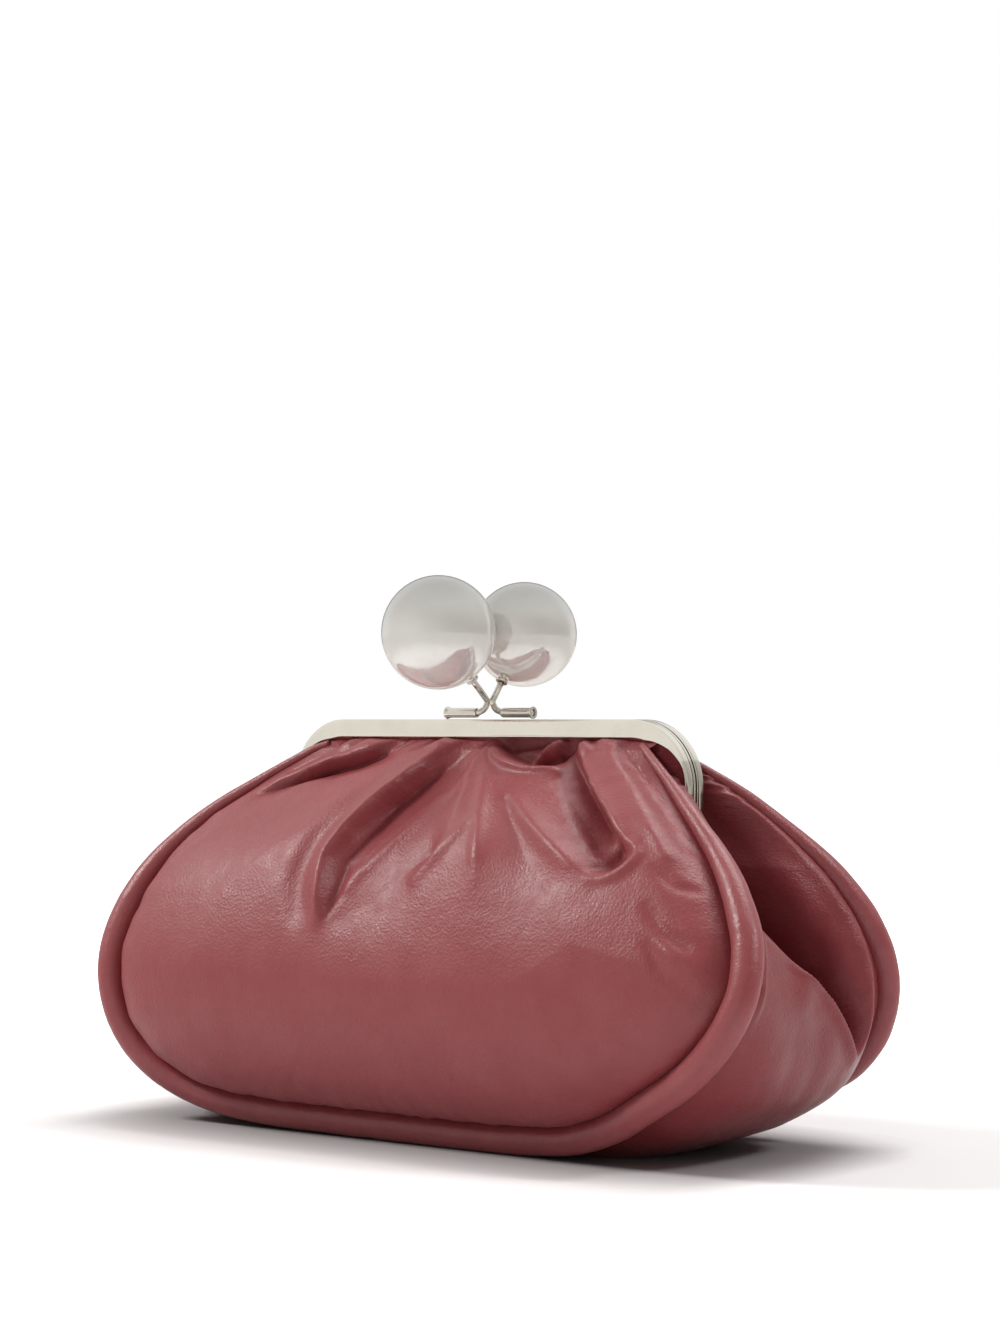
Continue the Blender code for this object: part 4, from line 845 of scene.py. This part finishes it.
def make_gusset_halves():
    """The gusset from the frame's left leg under the bag to the right leg, as its front and its rear half."""
    start, outward, front_top = gusset_edge(FRONT_PIPING, -1)
    stop, _, _ = gusset_edge(REAR_PIPING, 1)
    v = np.linspace(0.0, 1.0, GUSSET_COLUMNS)
    grid = start[:, None] * (1 - v)[None, :, None] + stop[:, None] * v[None, :, None]
    y, z = grid[..., 1], grid[..., 2]
    hand = np.where(grid[..., 0] < 0, -1.0, 1.0)
    shape = (1 - np.abs(2 * v - 1) ** 4.0)[None]
    grid = grid + outward[:, None] * (by_height(BASE_BULGE, z) * shape)[..., None]
    # the fold, its rear roll, the welt beside the front piping and the fold's lip
    fold_from = np.where(z < 76.0, by_height(FOLD_START, z), 6.0 - depth_at(z))
    crest_rear, valley_y, valley_x = (by_height(table, z) for table in (CREST_REAR, VALLEY_Y, VALLEY_X))
    deep, far = gusset_dip(y, z, fold_from, valley_y, crest_rear)
    front_y = start[:, None, 1]
    roll = np.exp(-((y - crest_rear + 0.5) / 4.5) ** 2) * within(z, 34.0, 12.0, 124.0, 16.0)
    welt = np.exp(-((y - front_y - 6.0) / 1.5) ** 2) * within(z, 44.0, 14.0, 104.0, 14.0)
    lip = np.exp(-((y - fold_from + 1.5) / 3.0) ** 2) * within(z, FOLD_FOOT, 6.0, 66.0, 8.0)
    base_x = np.abs(grid[..., 0])
    moved = base_x + (valley_x - base_x) * deep + 2.6 * roll + 1.2 * welt + 2.0 * lip
    along = np.linspace(-1.0, 1.0, GUSSET_ROWS) * front_top
    gather = np.sin(np.abs(along)[:, None] * 1.2 + 0.5 * y) * ease((z - 108.0) / 14.0)
    moved = moved + 0.7 * gather * ease((np.abs(y) - 3.0) / 3.0) * ease((front_y - y + 0.5) / -2.5)
    moved, above, seated_z = seated(moved, y, z)
    grid[..., 2] = np.where(above, seated_z, grid[..., 2])
    grid[..., 0] = hand * moved
    small = noise_at(grid * (0.05, 0.09, 0.05))
    lift = small * 1.1 * shape * np.clip(z / 20.0, 0.1, 1.0)
    grid[..., 0] += hand * lift * 0.8
    grid[..., 2] = np.maximum(grid[..., 2], 0.12)
    # Painted light in the gusset's colour: painted shade deep in the fold and under the frame at the top, and
    # painted highlight on the rear roll and on the fold's lip; the small noise is random tone.
    shade = np.where(y < valley_y, deep, ease(1.25 * far) ** 0.8) * ease((z - FOLD_FOOT) / 12.0)
    marks = np.clip(0.15 - 1.3 * shade + 0.2 * roll + 0.5 * lip, -1.15, 1) + small * 0.2
    marks = marks - 0.9 * ease((z - 112.0) / 10.0)
    uv = np.stack(np.broadcast_arrays(along[:, None], y + 60.0), -1)
    normals = grid_normals(grid)
    pieces = []
    middle = GUSSET_COLUMNS // 2
    for word, part in (("front", slice(None, middle + 1)), ("rear", slice(middle, None))):
        item = grid_object("gusset_leather_" + word, grid[:, part], uv[:, part], marks=marks[:, part])
        item.data.normals_split_custom_set_from_vertices(normals[:, part].reshape(-1, 3).tolist())
        give(item, GUSSET_LEATHER)
        inner = grid[:, part] - normals[:, part] * GUSSET_LINING_GAP
        inner[..., 2] = np.maximum(inner[..., 2], 3.6)
        lining = grid_object("gusset_lining_" + word, inner[4:-4], uv[4:-4, part], flip=True)
        give(lining, LINING)
        pieces.append((item, lining))
    return pieces


def grid_normals(grid):
    du, dv = np.gradient(grid, axis=0), np.gradient(grid, axis=1)
    normals = np.cross(dv, du)
    normals /= np.maximum(np.linalg.norm(normals, axis=2), 1e-9)[..., None]
    middle = normals[len(normals) // 2, normals.shape[1] // 2]
    return normals if middle[2] < 0 else -normals


# The frame

PLATE = 0.9  # the thickness of the channel's metal
# Painted shade: the fine groove, the channel's back edge and the legs are darkened in colour, by these
# amounts.
GROOVE_SHADE, LEG_SHADE = -0.9, -0.35  # how dark the fine groove and the legs are


def frame_band(z):
    """How far the channel reaches in from the frame's outside: full along the top, thin on the legs."""
    return np.interp(z, [116.0, 124.0, 131.0, 136.0, 138.0], [1.3, 1.6, 3.3, 5.2, FRAME_BAND])


def rounded(points, steps=4):
    """Cuts each corner of a closed outline, given as (y, depth, radius), with a small arc."""
    out = []
    for i, (y, depth, radius) in enumerate(points):
        here = np.array([y, depth], float)
        before = np.array(points[i - 1][:2], float) - here
        after = np.array(points[(i + 1) % len(points)][:2], float) - here
        reach = min(radius, 0.45 * np.linalg.norm(before), 0.45 * np.linalg.norm(after))
        first = here + before / np.linalg.norm(before) * reach
        last = here + after / np.linalg.norm(after) * reach
        for t in np.linspace(0.0, 1.0, steps + 1):
            out.append((1 - t) ** 2 * first + 2 * t * (1 - t) * here + t ** 2 * last)
    return np.array(out)


def channel(side, band):
    """The channel's closed section: a ridge, a groove and a rail outside, and a plate with a rolled edge."""
    near, far = BACK_WALL, BACK_WALL + FRAME_THICKNESS
    floor = max(min(PLATE, band * 0.6), 1.0)
    outline = rounded([
        (near, 0.0, 0.3), (near + 0.95, 0.0, 0.3), (near + 1.0, 0.85, 0.1), (near + 1.4, 0.85, 0.1),
        (near + 1.5, 0.0, 0.6), (far - 0.4, -0.02, 1.1), (far, 0.9, 0.8), (far, max(band - 0.9, 1.0), 0.4),
        (far + 0.25, max(band - 0.45, 1.1), 0.3), (far - 0.3, max(band, 1.2), 0.3),
        (far - PLATE, max(band - 0.3, 1.1), 0.2), (far - PLATE, floor, 0.05), (near + PLATE, floor, 0.05),
        (near + PLATE, max(band - 0.2, 1.1), 0.2), (near, max(band - 0.2, 1.1), 0.2),
    ])
    outline[:, 0] *= side
    return outline


def frame_line():
    """The frame's outside from its right foot over the top to its left foot, as (x, z)."""
    middle_x, middle_z = FRAME_HALF_LENGTH - FRAME_CORNER, FRAME_TOP - FRAME_CORNER
    right = [(FRAME_HALF_LENGTH, LEG_FOOT + i * 1.2) for i in range(14)]
    for i in range(41):
        turn = math.radians(90.0 * i / 40)
        right.append((middle_x + FRAME_CORNER * math.cos(turn), middle_z + FRAME_CORNER * math.sin(turn)))
    top = [(x, FRAME_TOP) for x in np.linspace(middle_x - 4.0, 4.0 - middle_x, 40)]
    return np.array(right + top + [(-x, z) for x, z in right[::-1]])


def make_frame(word, side):
    line = frame_line()
    rings, marks = [], []
    for point, way in zip(line, sideways(line)):
        section = channel(side, float(frame_band(point[1])))
        across, depth = np.abs(section[:, 0]) - BACK_WALL, section[:, 1]
        groove = (across > 0.9) & (across < 1.45) & (depth > 0.3) & (depth < 0.95)
        leg = (point[1] < 126.0) * (depth < 1.0)
        # painted shade in the groove, at the back edge and on the legs
        marks.append(np.where(groove | (across < 0.12), GROOVE_SHADE, 0.0) + LEG_SHADE * leg)
        flat = point + way * depth[:, None]
        rings.append(np.column_stack([flat[:, 0], section[:, 0], flat[:, 1]]))
    rings = np.array(rings)
    around = np.linspace(0.0, 22.0, rings.shape[1] + 1)
    uv = np.stack(np.meshgrid(around, lengths_along(line)), -1)
    item = grid_object("frame_channel_" + word, rings, uv, wrap=True, marks=np.array(marks), flip=side > 0,
                       closed=True)
    item.data.set_sharp_from_angle(angle=math.radians(50))
    give(item, NICKEL)
    return item


# The clasp

BALL_HOLE = 1.35
ROD_RADIUS = 1.05
SLEEVE_RADIUS, SLEEVE_LENGTH = 1.65, 13.0
FIT = 0.3  # between the frame, the sleeve and the rod's end
BEND_X = 3.4  # where the rod leaves its sleeve
FERRULE_LENGTH = 2.6
# Turned profiles, as (radius, height)
FERRULE = [(1.25, 0), (1.95, 0), (2.2, 0.25), (2.25, 0.6), (2, 0.9), (1.7, 1.2), (1.65, 1.7), (1.9, 2.2),
           (1.85, 2.7), (1.25, 2.7)]
SLEEVE = [(1.25, 13), (2.05, 13), (2.1, 12.8), (2, 12.4), (1.72, 11.9), (1.65, 11.2), (1.65, 0.6), (1.6, 0.2),
          (1.5, 0), (1.25, 0), (1.25, 13)]


def make_clasp(word, side):
    """A ball, its ferrule, and the rod with its sleeve on one frame half. The two rods meet at the kiss."""
    centre, radius = np.array(BALLS[word][0]), BALLS[word][1]
    kiss = np.array([side * 1.25, -side * 0.5, FRAME_TOP + 6.0])
    rise = centre - kiss
    rise /= np.linalg.norm(rise)
    hole = math.asin(BALL_HOLE / radius)
    profile = [(BALL_HOLE, 0.9 - radius * math.cos(hole))]
    profile += [(radius * math.sin(t), -radius * math.cos(t)) for t in np.linspace(hole, math.pi, 72)]
    profile[-1] = (0.0, radius)
    ball = turned_object("ball_shell_" + word, profile, 112, centre, rise)
    give(ball, POLISHED)
    foot = centre - rise * (radius + FERRULE_LENGTH)
    collar = turned_object("ball_ferrule_" + word, FERRULE, 32, foot, rise)
    give(collar, FITTINGS)
    base = np.array([0.0, side * 2.5, FRAME_TOP + FIT + SLEEVE_RADIUS + FIT])
    along = np.array([side, 0.0, 0.0])
    bend = base + along * BEND_X
    end = bend + along * (SLEEVE_LENGTH - FIT)
    corner = base + along * (1.5 * ROD_RADIUS + 0.2)
    turn = smooth_line([bend, (bend + corner) / 2 + (0.0, 0.0, 0.26), (corner + kiss) / 2 - (0.0, 0.0, 0.52),
                        kiss], 10)
    line = np.vstack([end, (bend + end) / 2, turn, centre - rise * (radius - 1.5)])
    rod = tube_object("clasp_wire_" + word, line, np.full(len(line), ROD_RADIUS), 24)
    give(rod, FITTINGS)
    sleeve = turned_object("clasp_tube_" + word, SLEEVE, 36, bend, along)
    sleeve.data.set_sharp_from_angle(angle=math.radians(55))
    give(sleeve, FITTINGS)
    return ball, collar, rod, sleeve


# Build

def bind(item):
    """Bakes the piece's place into its mesh."""
    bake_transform(item)


def build():
    for word, side, outline, folds, marks, hangs, seed in (
            ("front", -1, FRONT_PIPING, FRONT_FOLDS, FRONT_STROKES, FRONT_LEANS, 3.0),
            ("rear", 1, REAR_PIPING, REAR_FOLDS, REAR_STROKES, REAR_LEANS, 11.0)):
        body = word + "_frame"
        panel, lining = make_panel(word + "_leather", outline, folds, marks, hangs, side, seed)
        bind(panel)
        bind(lining)
        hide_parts(word + "_panel", word + "_gather")
        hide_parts("lining_" + word, "lining_" + word + "_top")
        piping = make_piping(word + "_cord_cover", outline, side, seed)
        bind(piping)
        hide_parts(word + "_piping", word + "_piping_core", word + "_piping_end_left",
                    word + "_piping_end_right")
        frame_half = make_frame(word, side)
        ball, collar, rod, sleeve = make_clasp(word, side)
        for piece, node, slot in ((frame_half, "frame_" + word, "nickel_frame"),
                                  (ball, "clasp_ball_" + word, "polished_ball"),
                                  (collar, "ball_collar_" + word, "nickel_fittings"),
                                  (rod, "clasp_rod_" + word, "nickel_fittings"),
                                  (sleeve, "clasp_sleeve_" + word, "nickel_fittings")):
            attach(piece, body)
            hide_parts(node)
    (front, front_lining), (rear, rear_lining) = make_gusset_halves()
    for piece, lining, word, side in ((front, front_lining, "front", -1), (rear, rear_lining, "rear", 1)):
        for item in (piece, lining):
            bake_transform(item)
        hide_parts("gusset_top_" + word + "_left", "gusset_top_" + word + "_right")
    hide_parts("gusset_base", "gusset_left", "gusset_right")
    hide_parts("lining_gusset")
    for name, material in (("frame_filler_front", CORD), ("frame_filler_rear", CORD), ("base_board", BOARD),
                           ("hinge_rivet_left", FITTINGS), ("hinge_rivet_right", FITTINGS)):
        give(bpy.data.objects[name], material)


# Studio

CAMERA_PLACE = (0.5968, -0.7880, 0.1394)
CAMERA_TURN = 37.14  # degrees to the right of the bag's front
FOCAL_LENGTH, PHOTO_HEIGHT = 2930, 1334  # in the photograph's pixels
SENSOR = 36.0
FLOOR_REACH = 6.0
TABLE = (0.80, 0.78, 0.73)
# The painted contact shadow in the floor's colour: how far it reaches, how steeply it fades, and its darkest
# colour.
CONTACT_REACH, CONTACT_POWER, CONTACT_DARK = 0.032, 1.5, (0.36, 0.36, 0.36)
# The room that metal and glaze mirror: from the left to the right, above, ahead of the camera and far ahead
ROOM_LEFT, ROOM_RIGHT = (0.90, 0.88, 0.82), (0.50, 0.48, 0.44)
ROOM_ABOVE, ROOM_AHEAD, ROOM_FAR = (0.92, 0.915, 0.89), (0.95, 0.95, 0.94), (0.20, 0.20, 0.20)
# name, place, aim, size of the disc, watts, colour
LAMPS = [
    ("key", (-1.15, -0.85, 1.30), (0.0, 0.0, 0.07), 0.50, 22.5, (1.0, 0.99, 0.97)),
    ("fill", (0.25, -1.40, 0.14), (0.0, 0.0, 0.04), 0.8, 1.5, (1.0, 0.99, 0.98)),
    ("side", (1.28, 0.42, 1.05), (0.05, 0.0, 0.07), 0.28, 8.0, (1.0, 0.99, 0.98)),
    ("overhead", (0.15, 0.55, 1.45), (0.0, 0.0, 0.05), 1.0, 12.0, (1.0, 0.99, 0.98)),
]


def make_camera():
    data = bpy.data.cameras.new("camera")
    data.sensor_width = SENSOR
    data.lens = FOCAL_LENGTH / PHOTO_HEIGHT * SENSOR
    data.shift_x = 0.0075
    data.shift_y = 0.03845
    data.clip_start = 0.01
    data.clip_end = 50.0
    item = add_object("camera", data)
    item.location = CAMERA_PLACE
    turn = math.radians(CAMERA_TURN)
    look = Vector((-math.sin(turn), math.cos(turn), 0.0))
    item.rotation_euler = look.to_track_quat("-Z", "Y").to_euler()
    bpy.context.scene.camera = item


def make_floor():
    """Matt white paper with a painted contact shadow, darker where the bag is near it. Metal and glaze mirror
    it as a grey table.
    """
    mesh = bpy.data.meshes.new("floor")
    corners = [(x * FLOOR_REACH, y * FLOOR_REACH, 0.0) for x, y in ((-1, -1), (1, -1), (1, 1), (-1, 1))]
    mesh.from_pydata(corners, [], [(0, 1, 2, 3)])
    item = add_object("floor", mesh)
    material, nodes, shader = new_material("floor_paper", WHITE, 0.9)
    # ambient occlusion darkens the paper's colour near the bag: a painted shadow
    near = nodes.add("ShaderNodeAmbientOcclusion", {"Distance": CONTACT_REACH}, samples=8).outputs["AO"]
    nodes.fill(shader, {
        "Specular IOR Level": 0.0,
        "Normal": nodes.bump(nodes.noise(nodes.place("Object"), 900.0), 0.00005, 0.3),
        "Base Color": nodes.color_mix(nodes.math("POWER", near, CONTACT_POWER), CONTACT_DARK, WHITE)})
    path = nodes.add("ShaderNodeLightPath")
    flat = nodes.place("Object", (1.0, 1.0, 0.0))
    away = nodes.add("ShaderNodeVectorMath", {0: flat}, operation="LENGTH").outputs["Value"]
    paper, mirrored = (
        nodes.math("MULTIPLY", path.outputs[ray], nodes.span(away, 0.0, 1.0, low, high))
        for ray, low, high in (("Is Camera Ray", 0.20, 0.50), ("Is Glossy Ray", 0.22, 0.50)))
    lit = nodes.add("ShaderNodeAddShader", {
        0: shader.outputs[0], 1: nodes.glow("ShaderNodeEmission", WHITE, paper)}).outputs[0]
    both = nodes.either(mirrored, lit, nodes.glow("ShaderNodeEmission", TABLE))
    nodes.fill(nodes.tree.nodes["Material Output"], {"Surface": both})
    item.data.materials.append(material)
    LIT.objects.link(item)


def make_world():
    """White for the camera, a soft studio in reflections, and an even light on everything."""
    world = bpy.data.worlds.new("studio")
    bpy.context.scene.world = world
    world.use_nodes = True
    nodes = Nodes(world)
    nodes.tree.nodes.clear()
    parts = nodes.add("ShaderNodeSeparateXYZ", {0: nodes.add("ShaderNodeTexCoord").outputs["Generated"]})
    ahead = nodes.along(parts, (-0.604, 0.797, 0.0))
    right = nodes.along(parts, (0.797, 0.604, 0.0))
    upward = nodes.along(parts, (0.0, 0.25, 0.97))
    room = nodes.color_mix(nodes.span(right, 0.0, 1.0, -0.88, 0.6), ROOM_LEFT, ROOM_RIGHT)
    room = nodes.color_mix(nodes.span(upward, 0.0, 1.0, 0.30, 0.75), room, ROOM_ABOVE)
    room = nodes.color_mix(nodes.span(ahead, 0.0, 1.0, 0.44, 0.56), room, ROOM_AHEAD)
    room = nodes.color_mix(nodes.span(ahead, 0.0, 1.0, 0.86, 0.97), room, ROOM_FAR)
    sky = nodes.glow("ShaderNodeBackground", (0.8, 0.8, 0.8), nodes.span(upward, 0.09, 0.48))
    path = nodes.add("ShaderNodeLightPath")
    room = nodes.either(path.outputs["Is Glossy Ray"], sky, nodes.glow("ShaderNodeBackground", room))
    room = nodes.either(path.outputs["Is Camera Ray"], room, nodes.glow("ShaderNodeBackground", WHITE))
    nodes.add("ShaderNodeOutputWorld", {"Surface": room})


def add_lamp(name, place, aim, size, energy, color):
    """A soft lamp for the leather, cloth and floor."""
    data = bpy.data.lights.new(name, "AREA")
    data.shape = "DISK"
    data.size = size
    data.energy = energy
    data.color = color
    item = add_object(name, data)
    item.location = place
    item.rotation_euler = (Vector(aim) - Vector(place)).to_track_quat("-Z", "Y").to_euler()
    item.light_linking.receiver_collection = LIT


make_camera()
make_floor()
make_world()
for lamp in LAMPS:
    add_lamp(*lamp)
build()
bpy.context.scene.view_settings.view_transform = "Standard"
